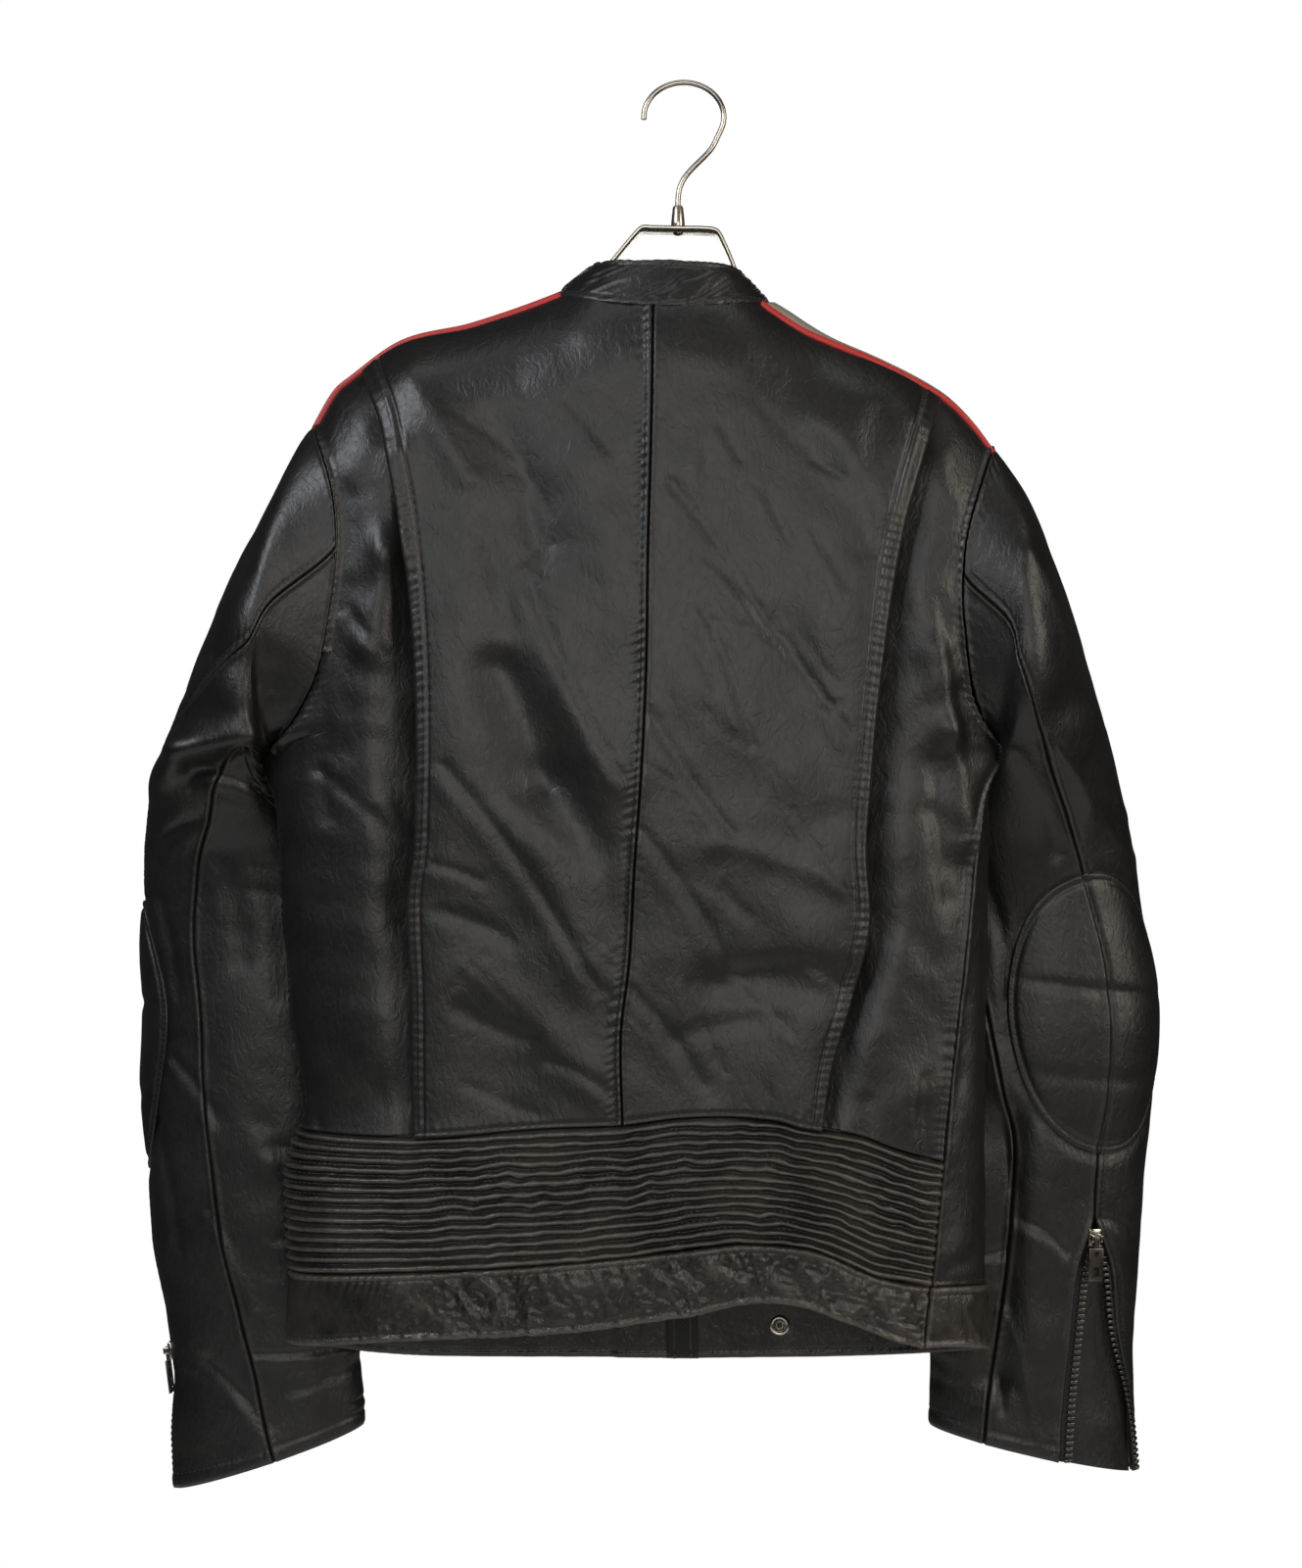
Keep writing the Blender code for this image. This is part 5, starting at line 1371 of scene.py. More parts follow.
    def side_panel(self, side: Side) -> None:
        """Builds one side panel, which reaches under the fold of the centre panel."""
        left, seams, lap = side is Side.LEFT, SEAMS[side], self.fold_lap / MM
        under = [(z, x - side.value * lap) for z, x in seams.pleat]
        outer_low, edge = self.rib_top.keys[0 if left else -1], LEFT_EDGE if left else SIDE_SEAM_RIGHT
        inner_low = (seams.pleat[0][1] - side.value * lap) * MM
        lower = down_line(edge, Face.BACK, float(self.rib_top(outer_low)), seams.armhole_back[0][0] * MM)
        outer = joined(lower, armhole_line(seams.armhole_back, Face.BACK, self.top), self.underarm)
        inner = down_line(under, Face.BACK, float(self.rib_top(inner_low)), meeting(under, self.top))
        ends = [(outer_low, edge_x(seams.armhole_back, self.top), outer),
                (inner_low, edge_x(under, self.top), inner)]
        (start, top_start, first), (end, top_end, last) = ends if left else ends[::-1]
        patch = Patch(cross_line(self.rib_top, start, end, Face.BACK),
                      cross_line(self.top, top_start, top_end, Face.BACK), first, last)
        outer_border = Border.LEFT if left else Border.RIGHT
        net = trunk_net(patch, shares(90 * MM, 1.8 * MM), shares(460 * MM, self.step))
        low_x, high_x = (-250, -150) if side is Side.LEFT else (95, 185)
        strewn_rows = Scatter(17 + side.value, 20, (low_x, -640), (high_x, -230), -82, 16, (30, 90), (3, 8),
                              (0.3, 1.0)).rows()
        relief = facing_back(net.points, BODY_FOLDS) + facing_back(net.points, strewn_rows)
        outside = (net.points[..., 0] - Curve(seams.pleat)(net.points[..., 2])) * side.value
        below_top = np.clip(net.away[Border.TOP] / (45 * MM), 0, 1)
        middle = hump(net.points[..., 2] + 430 * MM, 170 * MM)
        hollow_depth, hollow_width = (4 + 11 * middle) * MM, (10 + 9 * middle) * MM
        relief = relief - hollow_depth * hump(outside + 2 * MM, hollow_width) * below_top
        relief = relief - 1.2 * MM * (outside < 1 * MM) * (1 - below_top)
        relief = relief + underarm_puff(net, outer_border)
        Panel(f"back_side_{side.word}", net,
              {outer_border: Sewn(roll=2.0 * MM, pucker=0.8 * MM),
               Border.BOTTOM: Sewn(pucker=0.6 * MM), Border.TOP: Sewn(1.2 * MM)},
              3.0 + side.value, relief=relief, hills=1.1 * MM).build(self.finishes.hide, self.thread)

    def ribs(self) -> None:
        """Builds the ribbed waist, whose welts waver a little where the leather was drawn in."""
        patch = self.waist_patch(self.hem_seam, self.rib_top)
        steps = self.rib_count * self.rows_per_rib + 1
        net = trunk_net(patch, np.linspace(0, 1, 250), np.linspace(0, 1, steps))
        along, up = net.away[Border.LEFT], net.away[Border.BOTTOM] / net.away[Border.BOTTOM][-1:]
        calm = np.clip((along - 40 * MM) / (120 * MM), 0.25, 1)
        waver = 0.6 * HILLS(along, up * 60 * MM, 15 * MM) + 0.4 * RIDGES(along, up * 110 * MM, 7 * MM)
        phase = (up * self.rib_count + calm * waver * 0.42 * np.sin(math.pi * up) ** 0.4) * math.pi
        welt = np.abs(np.sin(phase))
        # The tops of the welts are painted lighter, as a painted highlight.
        painted_crest_highlight = hump(welt - 1, 0.12) * (0.6 + 0.4 * RIDGES(along, up, 6 * MM))
        relief = self.rib_height * welt - 1.0 * MM + facing_back(net.points, BODY_FOLDS)
        panel = Panel("rib_panel", net, {Border.LEFT: Sewn(), Border.RIGHT: Sewn()}, 7.0,
                      relief=relief, wear=painted_crest_highlight, hills=0.4 * MM)
        panel.build(self.finishes.hem_hide)
        for rib in range(1, self.rib_count):
            row = rib * self.rows_per_rib
            self.thread.row(panel.skin[row], net.outward[row], 0.2 * MM)

    def hem_band(self) -> None:
        """Builds the hem band, crinkled all over but near the left side."""
        patch = self.waist_patch(self.hem, self.hem_seam)
        net = trunk_net(patch, shares(390 * MM, 1.3 * MM), shares(42 * MM, 1.2 * MM))
        x, z = net.points[..., 0], net.points[..., 2]
        bent = 9 * MM * HILLS(x, z, 30 * MM)
        crinkle = 1 - 2 * np.abs(RIDGES(x + z * 0.45 + bent, z * 0.4, 7.5 * MM))
        small = 1 - 2 * np.abs(HILLS(x * 1.3 + bent, z + x * 0.3, 4.2 * MM))
        strength = np.clip((x + 205 * MM) / (40 * MM), 0.1, 1) * (0.65 + 0.35 * HILLS(x, 0.3, 60 * MM))
        relief = strength * (1.8 * MM * crinkle + 0.9 * MM * small)
        Panel("back_hem_band", net,
              {Border.LEFT: Sewn(), Border.RIGHT: Sewn(),
               Border.BOTTOM: Sewn(0.9 * MM, raised=0.3 * MM, stitch=4.5 * MM, pucker=0.35 * MM),
               Border.TOP: Sewn(roll=0.4 * MM, stitch=4 * MM, pucker=0.9 * MM)},
              9.0, thickness=self.hem_thickness, skin_off=self.hem_thickness, relief=relief,
              # The tops of the crinkles are painted lighter: partly rubbing, partly a painted highlight.
              wear=0.6 * np.clip(crinkle, 0, 1) ** 4 * strength, hills=0.7 * MM,
              ).build(self.finishes.hem_hide, self.thread)

    def build(self) -> None:
        """Builds the whole back."""
        for side in Side:
            self.side_panel(side)
            self.centre(side)
        self.ribs()
        self.hem_band()
        self.thread.build(self.finishes.thread)


@dataclass
class Front:
    """The two fronts with their hem bands, and the zip that closes them."""

    finishes: Finishes
    hem_thickness: float = 2.6 * MM
    half_zip: float = 3 * MM
    underarm: float = 0.52  # the share of the outer border that lies below the underarm
    seam_start: float = 44 / 373  # the shares of the side seam at which the right front's seam and hem start
    hem_start: float = 0.02
    length: float = 560 * MM
    allowance: float = 1.4 * MM  # of the front, tucked under its hem band
    tab_end: float = -43 * MM  # where the facing's tab begins inside the left hem band
    zip_low: float = -790.5 * MM
    tooth_pitch: float = 2.6 * MM
    thread: Thread = field(default_factory=lambda: Thread("front_stitching"))

    def side_seam(self, side: Side, low: float, high: float) -> Line:
        """The side seam between two heights."""
        if side is Side.LEFT:
            return lambda t: np.stack([np.full_like(t, -math.pi / 2), low + (high - low) * t], -1)
        return down_line(SIDE_SEAM_RIGHT, Face.BACK, low, high)

    def panels(self, side: Side) -> None:
        """Builds one front and its hem band."""
        face = SEAMS[side].front
        zip_rows = [(z, x + side.value * self.half_zip / MM) for z, x in ZIP_LINE]
        zip_edge, seam_right = down_line(zip_rows, face), down_line(SIDE_SEAM_RIGHT, Face.BACK)
        start = hem_start = -math.pi / 2
        if side is Side.RIGHT:
            starts = (self.seam_start, self.hem_start)
            start, hem_start = (float(seam_right(np.array(at))[0]) for at in starts)
        seam = angle_line(FRONT_SEAM, start, float(zip_edge(np.array(0.08))[0]))
        hem = angle_line(FRONT_HEM, hem_start, float(zip_edge(np.zeros(1))[0, 0]))
        (seam_side, seam_zip), (hem_side, hem_zip) = (
            [float(line(share)[0, 1]) for share in (np.zeros(1), np.ones(1))] for line in (seam, hem))
        self.front(side, seam, seam_side, zip_rows, seam_zip)
        self.band(side, Patch(hem, seam, self.side_seam(side, hem_side, seam_side),
                              down_line(zip_rows, face, hem_zip, seam_zip)))

    def front(self, side: Side, seam: Line, seam_side: float, zip_rows: Rows, seam_zip: float) -> None:
        """Builds one front above its hem band.

        Args:
            side: which front.
            seam: the seam to the hem band.
            seam_side: that seam's height at the side.
            zip_rows: the table of the edge at the zip.
            seam_zip: the seam's height at the zip.
        """
        face, armhole = SEAMS[side].front, SEAMS[side].armhole_front
        top = top_edge(COLLAR_FRONT_AT, face)
        neck = ZIP_LINE[-1][1] * MM + side.value * self.half_zip
        outer = joined(self.side_seam(side, seam_side, armhole[0][0] * MM), armhole_line(armhole, face, top),
                       self.underarm)
        patch = Patch(seam, cross_line(top, edge_x(armhole, top), neck, face), outer,
                      down_line(zip_rows, face, seam_zip, float(top(np.array(neck)))))
        tucked = self.allowance / self.length
        rows = (1 + tucked) * shares(self.length, 3.0 * MM) - tucked
        net = trunk_net(patch, shares(230 * MM, 3.4 * MM), rows)
        low_x, high_x = (-240, -20) if side is Side.LEFT else (0, 180)
        strewn_rows = Scatter(31 + side.value, 40, (low_x, -730), (high_x, -220), -90 - side.value * 30, 20,
                              (25, 80), (1.6, 5), (0.4, 1.1)).rows()
        edges = {Border.LEFT: Sewn(roll=0.4 * MM, pucker=0.6 * MM), Border.TOP: Sewn(1.2 * MM),
                 Border.BOTTOM: Sewn(2.8 * MM, 1.8 * MM, stitch=4.8 * MM, pucker=0.3 * MM),
                 Border.RIGHT: Sewn(0.6 * MM, raised=0.5 * MM, stitch=6 * MM, pucker=0.35 * MM)}
        relief = facing_back(net.points, strewn_rows) + underarm_puff(net, Border.LEFT)
        Panel(f"front_{side.word}", net, edges, 13.0 + side.value, relief=relief,
              hills=0.8 * MM).build(self.finishes.hide, self.thread)

    def band(self, side: Side, patch: Patch) -> None:
        """Builds one front's hem band, with its facing inside."""
        net = trunk_net(patch, shares(230 * MM, 1.9 * MM), shares(46 * MM, 1.8 * MM))
        x, z = net.points[..., 0], net.points[..., 2]
        crinkle = 1 - 2 * np.abs(RIDGES(x + z * 0.4, z * 0.6, 7 * MM))
        edges = {Border.LEFT: Sewn(), Border.RIGHT: Sewn(0.6 * MM, raised=0.4 * MM, stitch=5 * MM),
                 Border.BOTTOM: Sewn(0.8 * MM, raised=0.4 * MM, stitch=4 * MM, pucker=0.4 * MM),
                 Border.TOP: Sewn(0.5 * MM, roll=0.4 * MM, stitch=4 * MM, pucker=0.3 * MM)}
        facing = {Border.BOTTOM: Sewn(0.6 * MM, roll=0.3 * MM, stitch=4.5 * MM, pucker=0.5 * MM),
                  Border.RIGHT: Sewn(0.8 * MM, 1.0 * MM, roll=1.0 * MM, stitch=4.0 * MM)}
        tab = np.clip((x - self.tab_end) / (0.8 * MM), 0, 1) if side is Side.LEFT else np.ones(x.shape)
        inside = 1.2 * MM * tab + 0.4 * MM * HILLS(x * 1.5, z, 12 * MM)
        # The tops of the crinkles are painted lighter: partly rubbing, partly a painted highlight.
        Panel(f"front_hem_band_{side.word}", net, edges, 15.0 + side.value, thickness=self.hem_thickness,
              skin_off=self.hem_thickness, relief=0.5 * MM * crinkle, wear=0.25 * np.clip(crinkle, 0, 1),
              inner=facing, inner_relief=inside).build(self.finishes.hem_hide, self.thread)

    def zip_chain(self) -> None:
        """Builds the tape behind the fronts' edges and its two rows of meshed teeth."""
        zip_x, low, high, tape = Curve(ZIP_LINE), self.zip_low, zip_top() - 2 * MM, 10 * MM
        x, t = grid(np.linspace(-tape, tape, 12), np.linspace(0, 1, 120))
        height = low + (high - low) * t
        angle = TRUNK.angle_at(zip_x(height) + x, height, Face.FRONT_RIGHT)
        points, normal = TRUNK.point(angle, height), TRUNK.normal(angle, height)
        skin, flesh = points - normal * 0.9 * MM, points - normal * 1.7 * MM
        net = Net(skin, BODY_MIDDLE)
        made = shell("front_zip_tape", skin, flesh, net.turned, self.finishes.tape)
        stand_in(made, "front_zip")
        declare_sheet(made, net.width, net.length, net.area)
        count = int((high - low) / self.tooth_pitch)
        height = low + (np.arange(2 * count) + 0.5) / (2 * count) * (high - low)
        offset = np.where(np.arange(2 * count) % 2 == 0, -0.7, 0.7) * MM
        angle = TRUNK.angle_at(zip_x(height) + offset, height, Face.FRONT_RIGHT)
        places, facing = TRUNK.point(angle, height), TRUNK.normal(angle, height)
        run = unit(np.gradient(places, axis=0) * [0, 1, 1])
        frames = np.stack([np.cross(run, facing), run, facing], 1)
        teeth = strewn("front_zip_teeth", block((3.0 * MM, 1.1 * MM, 1.9 * MM), 0.25 * MM), frames,
                       places - facing * 0.1 * MM, self.finishes.gunmetal)
        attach(teeth, "jacket")
        LOG.info("front zip: %d teeth", 2 * count)

    def build(self) -> None:
        """Builds both fronts and the zip."""
        for side in Side:
            self.panels(side)
        self.zip_chain()
        self.thread.build(self.finishes.thread)


@dataclass
class Collar:
    """The stand collar: a doubled band with a welt and a row of stitches along both edges."""

    finishes: Finishes
    thickness: float = 2.0 * MM
    top_half_width: float = 44.5 * MM
    top_centre: float = -8.3 * MM
    thread: Thread = field(default_factory=lambda: Thread("collar_stitching", 2.3 * MM, 3.2 * MM))

    def middle(self, turn: Array, v: Array) -> Array:
        """Points halfway through the band.

        Args:
            turn: angles round the neck, 0 at the centre back.
            v: shares of the way up.

        Returns:
            The points.
        """
        x = (NECK_LEFT + NECK_RIGHT) / 2 + (NECK_RIGHT - NECK_LEFT) / 2 * np.sin(turn) * 0.999
        on_back = np.cos(turn) > 0
        height = np.where(on_back, COLLAR_BACK_AT(x), COLLAR_FRONT_AT(x))
        angles = [TRUNK.angle_at(x, height, face) for face in (Face.BACK, Face.FRONT_RIGHT, Face.FRONT_LEFT)]
        angle = np.where(on_back, angles[0], np.where(turn > 0, angles[1], angles[2]))
        low = TRUNK.point(angle, height) + [0, 0, 1.6 * MM]
        rise = (26 - 9 * np.sin(turn) ** 2) * MM
        lean = np.sin(v * math.pi / 2) * 0.35 + v * 0.65
        across = low[..., 0] + (self.top_centre + self.top_half_width * np.sin(turn) - low[..., 0]) * v
        return np.stack([across, low[..., 1] * (1 - 0.16 * v), low[..., 2] + rise * lean], -1)

    def build(self) -> None:
        """Builds the collar and its stitching."""
        opening = math.radians(5)
        turn, v = grid(np.linspace(-math.pi + opening, math.pi - opening, 230), shares(30 * MM, 1.2 * MM))
        middle = self.middle(turn, v)
        flare = hump(v * 30 * MM, 2.4 * MM)[..., None]
        away = unit((middle - [self.top_centre, 0, 0]) * [1, 1, 0])
        net = Net(middle + (away * 1.5 * MM - np.array([0, 0, 2.6 * MM])) * flare, (-12 * MM, 5 * MM, -0.15))
        up, along = net.away[Border.BOTTOM], net.away[Border.LEFT]
        welt = 0.5 * MM * hump(net.away[Border.TOP], 1.8 * MM)
        fine = Scatter(41, 60, (0, 3), (330, 22), -70, 35, (4, 14), (0.9, 2.0), (0.2, 0.5)).rows()
        small = 1 - 2 * np.abs(RIDGES(along, up * 0.6, 7 * MM))
        relief = welt + 1.4 * creases(fine, along, up) + 0.45 * MM * small
        borders = {Border.TOP: Sewn(0.5 * MM, 1.0 * MM, stitch=3.4 * MM, pucker=0.3 * MM),
                   Border.BOTTOM: Sewn(0.5 * MM, 0.8 * MM, raised=0.3 * MM, stitch=4.2 * MM, pucker=0.5 * MM),
                   Border.LEFT: Sewn(0.5 * MM), Border.RIGHT: Sewn(0.5 * MM)}
        Panel("collar", net, borders, 21.0, thickness=self.thickness, skin_off=self.thickness / 2,
              relief=relief,
              wear=0.5 * hump(net.away[Border.TOP], 1.5 * MM), hills=0.4 * MM,
              ).build(self.finishes.hide, self.thread)
        self.thread.build(self.finishes.thread)


@dataclass
class ShoulderTrim:
    """The grey band over each shoulder and the red pipings in its seams."""

    finishes: Finishes
    leather: float = 1.4 * MM
    piping: float = 3.3 * MM
    margin: float = 1.4 * MM

    def collar_end(self, side: Side, turn: Array) -> Array:
        """Where the collar's base crosses lines along the shoulder, given by their turn round it."""
        inner = np.full(turn.shape, -12 * MM)
        outer = np.full(turn.shape, {Side.LEFT: NECK_LEFT, Side.RIGHT: NECK_RIGHT}[side])
        for _ in range(40):
            middle = (inner + outer) / 2
            line = TRUNK.shoulder(middle) - TRUNK.shoulder_round * (1 - np.cos(turn))
            below = line < np.where(turn >= 0, COLLAR_BACK_AT(middle), COLLAR_FRONT_AT(middle))
            inner, outer = np.where(below, inner, middle), np.where(below, middle, outer)
        return outer

    def strip(self, name: str, band: ShoulderBand, low: float, high: float, columns: int, skin: Callable,
              finish: Material, slot: str) -> None:
        """Builds one strip along the shoulder.

        Args:
            name: the node it stands for.
            band: the band it belongs to.
            low: where it starts round the shoulder, in degrees.
            high: where it ends.
            columns: how many columns it has across.
            skin: the skin's height over the torso at each share across.
            finish: its material.
            slot: the strip's kind, grey_leather or red_leather, which sets its swell and where it ends.
        """
        v, u = grid(np.linspace(0, 1, columns), np.linspace(0, 1, 90))
        turn = np.radians(low + (high - low) * v)
        start = self.collar_end(band.side, turn) + band.side.value * self.margin
        end = band.tip + band.side.value * (0 if slot == "grey_leather" else 1.0 * MM)
        x = start + (end - start) * u
        height = TRUNK.shoulder(x) - TRUNK.shoulder_round * (1 - np.cos(turn))
        angles = [TRUNK.angle_at(x, height, face) for face in (Face.BACK, SEAMS[band.side].front)]
        angle = np.where(turn >= 0, *angles)
        points, normal = TRUNK.point(angle, height), TRUNK.normal(angle, height)
        swell = 0.0
        if slot == "grey_leather" and band.side is Side.RIGHT:
            swell = 3.8 * MM * hump(x - 62 * MM, 22 * MM) * np.sin(math.pi * v) ** 0.5
        outer = points + normal * (skin(v) + swell)[..., None]
        net = Net(outer, BODY_MIDDLE)
        wear = 0.35 * hump(np.minimum(v, 1 - v), 0.08)
        made = shell(f"{name}_strip", outer, points, net.turned, finish, wear)
        stand_in(made, name)
        declare_sheet(made, net.width, net.length, net.area)

    def build(self) -> None:
        """Builds the bands and their pipings."""
        for side, band in BANDS.items():
            self.strip(f"shoulder_band_{side.word}", band, band.front, band.back, 16,
                       lambda v: self.leather - 0.7 * MM * hump(np.minimum(v, 1 - v), 0.06),
                       self.finishes.stripe, "grey_leather")
            for word, low, high in (("back", band.back + 0.3, band.back + PIPING_TURN + 0.2),
                                    ("front", band.front - PIPING_TURN - 0.2, band.front - 0.3)):
                self.strip(f"piping_{word}_{side.word}", band, low, high, 9,
                           lambda v: 0.9 * MM + (self.piping - 0.9 * MM) * np.sin(math.pi * v) ** 0.6,
                           self.finishes.piping, "red_leather")


# ------------------------------------------------------------------------------------------------ sleeves


class SleeveForm:
    """A sleeve's surface by column round it and section down it."""

    def __init__(self, side: Side, lift: float = 5.5 * MM, seam_gap: float = 0.3 * MM,
                 leather: float = 1.4 * MM) -> None:
        """Reads the tables.

        Args:
            side: which sleeve.
            lift: how far the underarm is lifted clear of the body.
            seam_gap: how far the armhole's edge stands off the body's skin.
            leather: the body's leather.
        """
        left, seams = side is Side.LEFT, SEAMS[side]
        self.side, self.lift, self.stand = side, lift, leather + seam_gap
        self.sections = np.array(LEFT_SLEEVE if left else RIGHT_SLEEVE) * MM
        self.last = len(self.sections)
        self.seam_table = Curve(LEFT_SEAMS if left else RIGHT_SEAMS, 1, 1)
        self.armholes = down_line(seams.armhole_back, Face.BACK), down_line(seams.armhole_front, seams.front)

    def seams(self, down: Values) -> tuple[Array, Array, Array]:
        """The columns of the under seam and of the back seam's two edges."""
        under, back, opening = np.moveaxis(self.seam_table.all(down), -1, 0)
        opening = np.maximum(opening, 0)
        return under, back - opening, back + opening

    def section(self, index: Array, column: Array) -> Array:
        """Points of whole sections; the first section is the armhole."""
        column = column % SLEEVE_COLUMNS
        on_back = column <= ARMHOLE_STEPS
        step = np.where(on_back, column, SLEEVE_COLUMNS - column)
        up = (1 - np.cos(math.pi * step / ARMHOLE_STEPS)) / 2
        ends = [np.moveaxis(line(up), -1, 0) for line in self.armholes]
        rings = [TRUNK.point(*end) + TRUNK.normal(*end) * self.stand for end in ends]
        armhole = np.where(on_back[..., None], *rings)
        armhole = armhole + np.stack([0 * up, 0 * up, self.lift * (1 - up) ** 2], -1)
        row = self.sections[np.clip(index - 1, 0, self.last - 1)]
        outer_x, outer_z, inner_x, inner_z, forward, depth = np.moveaxis(row, -1, 0)
        turn = math.pi * (1 - column / ARMHOLE_STEPS)
        x = (outer_x + inner_x) / 2 + (outer_x - inner_x) / 2 * np.cos(turn)
        z = (outer_z + inner_z) / 2 + (outer_z - inner_z) / 2 * np.cos(turn)
        ring = np.stack([x, forward - depth * np.sin(turn), z], -1)
        return np.where((index == 0)[..., None], armhole, ring)

    def surface(self, column: Values, down: Values) -> Array:
        """Points between sections, on smooth curves down the sleeve."""
        column, down = np.broadcast_arrays(np.asarray(column, float), np.asarray(down, float))
        i = np.minimum(down.astype(int), self.last - 1)
        t = (down - i)[..., None]
        before, start = self.section(np.maximum(i - 1, 0), column), self.section(i, column)
        end, after = self.section(i + 1, column), self.section(np.minimum(i + 2, self.last), column)
        bend = (end - before) / 2 * t * (1 - t) ** 2 - (after - start) / 2 * t * t * (1 - t)
        return start + (end - start) * t * t * (3 - 2 * t) + bend

    def frame(self, column: Values,
              down: Values) -> tuple[Array, Array, Array]:
        """Points with their directions down the sleeve and outward."""
        point = self.surface(column, down)
        around = self.surface(column + 0.3, down) - self.surface(column - 0.3, down)
        low, high = np.maximum(down - 0.05, 0), np.minimum(down + 0.05, self.last)
        along = unit(self.surface(column, high) - self.surface(column, low))
        return point, along, unit(np.cross(around, along)) * -self.side.value

    def folds(self, point: Array, normal: Array) -> Array:
        """The lift of the folds that show from behind."""
        facing = np.clip(-normal[..., 1] * 1.5, 0, 1)
        return facing * facing_back(point, SLEEVE_FOLDS)

    def offset(self, column: Values, down: Values,
               off: Values) -> Array:
        """Points moved off the surface, with the folds."""
        point, _, normal = self.frame(column, down)
        return point + normal * (off + self.folds(point, normal))[..., None]


@dataclass
class Sleeve:
    """One sleeve: its two panels, the padded elbow and the cuff that opens with a zip."""

    finishes: Finishes
    side: Side
    pad_column: float
    pad_down: float
    zip_top: float
    tape_depth: tuple[float, float]
    creases_back: Rows
    pad_half: tuple[float, float] = (3.0, 1.95)
    pad_dome: float = 5.0 * MM
    leather: float = 1.4 * MM
    tape: float = 0.9 * MM
    tooth_pitch: float = 3.8 * MM

    def __post_init__(self) -> None:
        """Makes the surface and the thread."""
        self.form = SleeveForm(self.side)
        self.word = self.side.word
        self.thread = Thread(f"sleeve_stitching_{self.word}")
        self.end = self.form.last - 0.03

    def hidden_creases(self, column: Array, down: Array) -> Array:
        """Creases across the hidden front of the sleeve, deepest inside the elbow."""
        x, z = column * 13 * MM, -down * 40 * MM
        rows = Scatter(51 + self.side.value, 60, (120, -640), (270, -60), 8, 16, (30, 90), (2.5, 6),
                       (0.6, 1.8)).rows()
        front = np.clip((column - 10.5) / 1.5, 0, 1)
        return creases(rows, x, z) * front

    def panel(self, node: str, left: Callable, right: Callable, width: float, border_seed: float,
              borders: dict[Border, Sewn]) -> None:
        """Builds one panel between two seams.

        Args:
            node: the node it stands for.
            left: the column of its first seam at each section.
            right: the column of its other seam.
            width: about how wide it is.
            border_seed: makes its puckers its own.
            borders: how it is sewn.
        """
        rows = self.form.last * (1.0025 * shares(640 * MM, 2.0 * MM) - 0.0025)
        u, down = grid(shares(width, 1.9 * MM, 4 * MM, 100 * MM / width), rows)
        start, end = left(down), right(down)
        column = start + (end - start) * u
        point, _, normal = self.form.frame(column, down)
        base = point + normal * self.form.folds(point, normal)[..., None]
        centre = self.form.surface(column + SLEEVE_COLUMNS / 2, down)
        net = Net(base, (base + centre) / 2)
        facing = np.clip(-normal[..., 1] * 2.0, 0, 1)
        relief = facing_back(base, self.creases_back) * facing + self.hidden_creases(column, down)
        across = (column - self.pad_column) / self.pad_half[0]
        along = (down - self.pad_down) / self.pad_half[1]
        from_pad = across**2 + along**2
        relief = relief - 1.3 * MM * hump(from_pad - 1, 0.12) * (from_pad < 4)
        relief = np.where(from_pad < 0.8, -1.0 * MM, relief)
        Panel(node, net, borders, border_seed, thickness=self.leather, skin_off=0.0, relief=relief,
              hills=0.7 * MM).build(self.finishes.hide, self.thread)

    def elbow_pad(self) -> None:
        """Builds the padded oval of the elbow, with its stitched rim and the back seam running over it."""
        steps = np.linspace(-1, 1, 93)
        u, v = grid(steps, steps)
        x, y = u * np.sqrt(1 - v * v / 2), v * np.sqrt(1 - u * u / 2)
        column, down = self.pad_column + self.pad_half[0] * x, self.pad_down + self.pad_half[1] * y
        radius = np.clip(x * x + y * y, 0, 1)
        point, _, normal = self.form.frame(column, down)
        point = point + normal * self.form.folds(point, normal)[..., None]
        seam = self.form.seams(down)[1]
        off_seam = (column - seam) * 13.5 * MM
        welt = hump(off_seam + 2.4 * MM, 1.4 * MM)
        lift = 0.4 * MM + self.pad_dome * (1 - radius) ** 0.8
        lift += 0.9 * MM * welt - 2.4 * MM * hump(off_seam, 0.8 * MM)
        lift -= 1.1 * MM * hump(np.sqrt(radius) - 0.94, 0.02)
        below = down - self.pad_down
        bars = -1.5 * hump(below + 0.25, 0.09) - 1.0 * hump(below - 0.95, 0.1)
        lift += (bars + 0.5 * HILLS(column * 13 * MM, down * 42 * MM, 17 * MM)) * MM * (1 - radius)
        skin = point + normal * np.maximum(lift, -1.6 * MM)[..., None]
        flesh = point - normal * 2.4 * MM
        net = Net(skin, flesh - normal * 30 * MM)
        wear = 0.4 * welt + 0.5 * np.clip((y - 0.45) / 0.5, 0, 1) * np.clip(x, 0, 1)
        name = f"elbow_pad_{self.word}"
        made = shell(f"{name}_cushion", skin, flesh, net.turned, self.finishes.hide, np.clip(wear, 0, 1))
        stand_in(made, name)
        turn, rim = np.linspace(0, math.tau, 140), 0.965
        rim_column = self.pad_column + self.pad_half[0] * rim * np.cos(turn)
        rim_down = self.pad_down + self.pad_half[1] * rim * np.sin(turn)
        point, _, normal = self.form.frame(rim_column, rim_down)
        rim_lift = 0.55 * MM + self.form.folds(point, normal)
        self.thread.row(point + normal * rim_lift[..., None], normal, 0.0)
        LOG.info("%s: dome %.1f mm", made.name, self.pad_dome / MM)

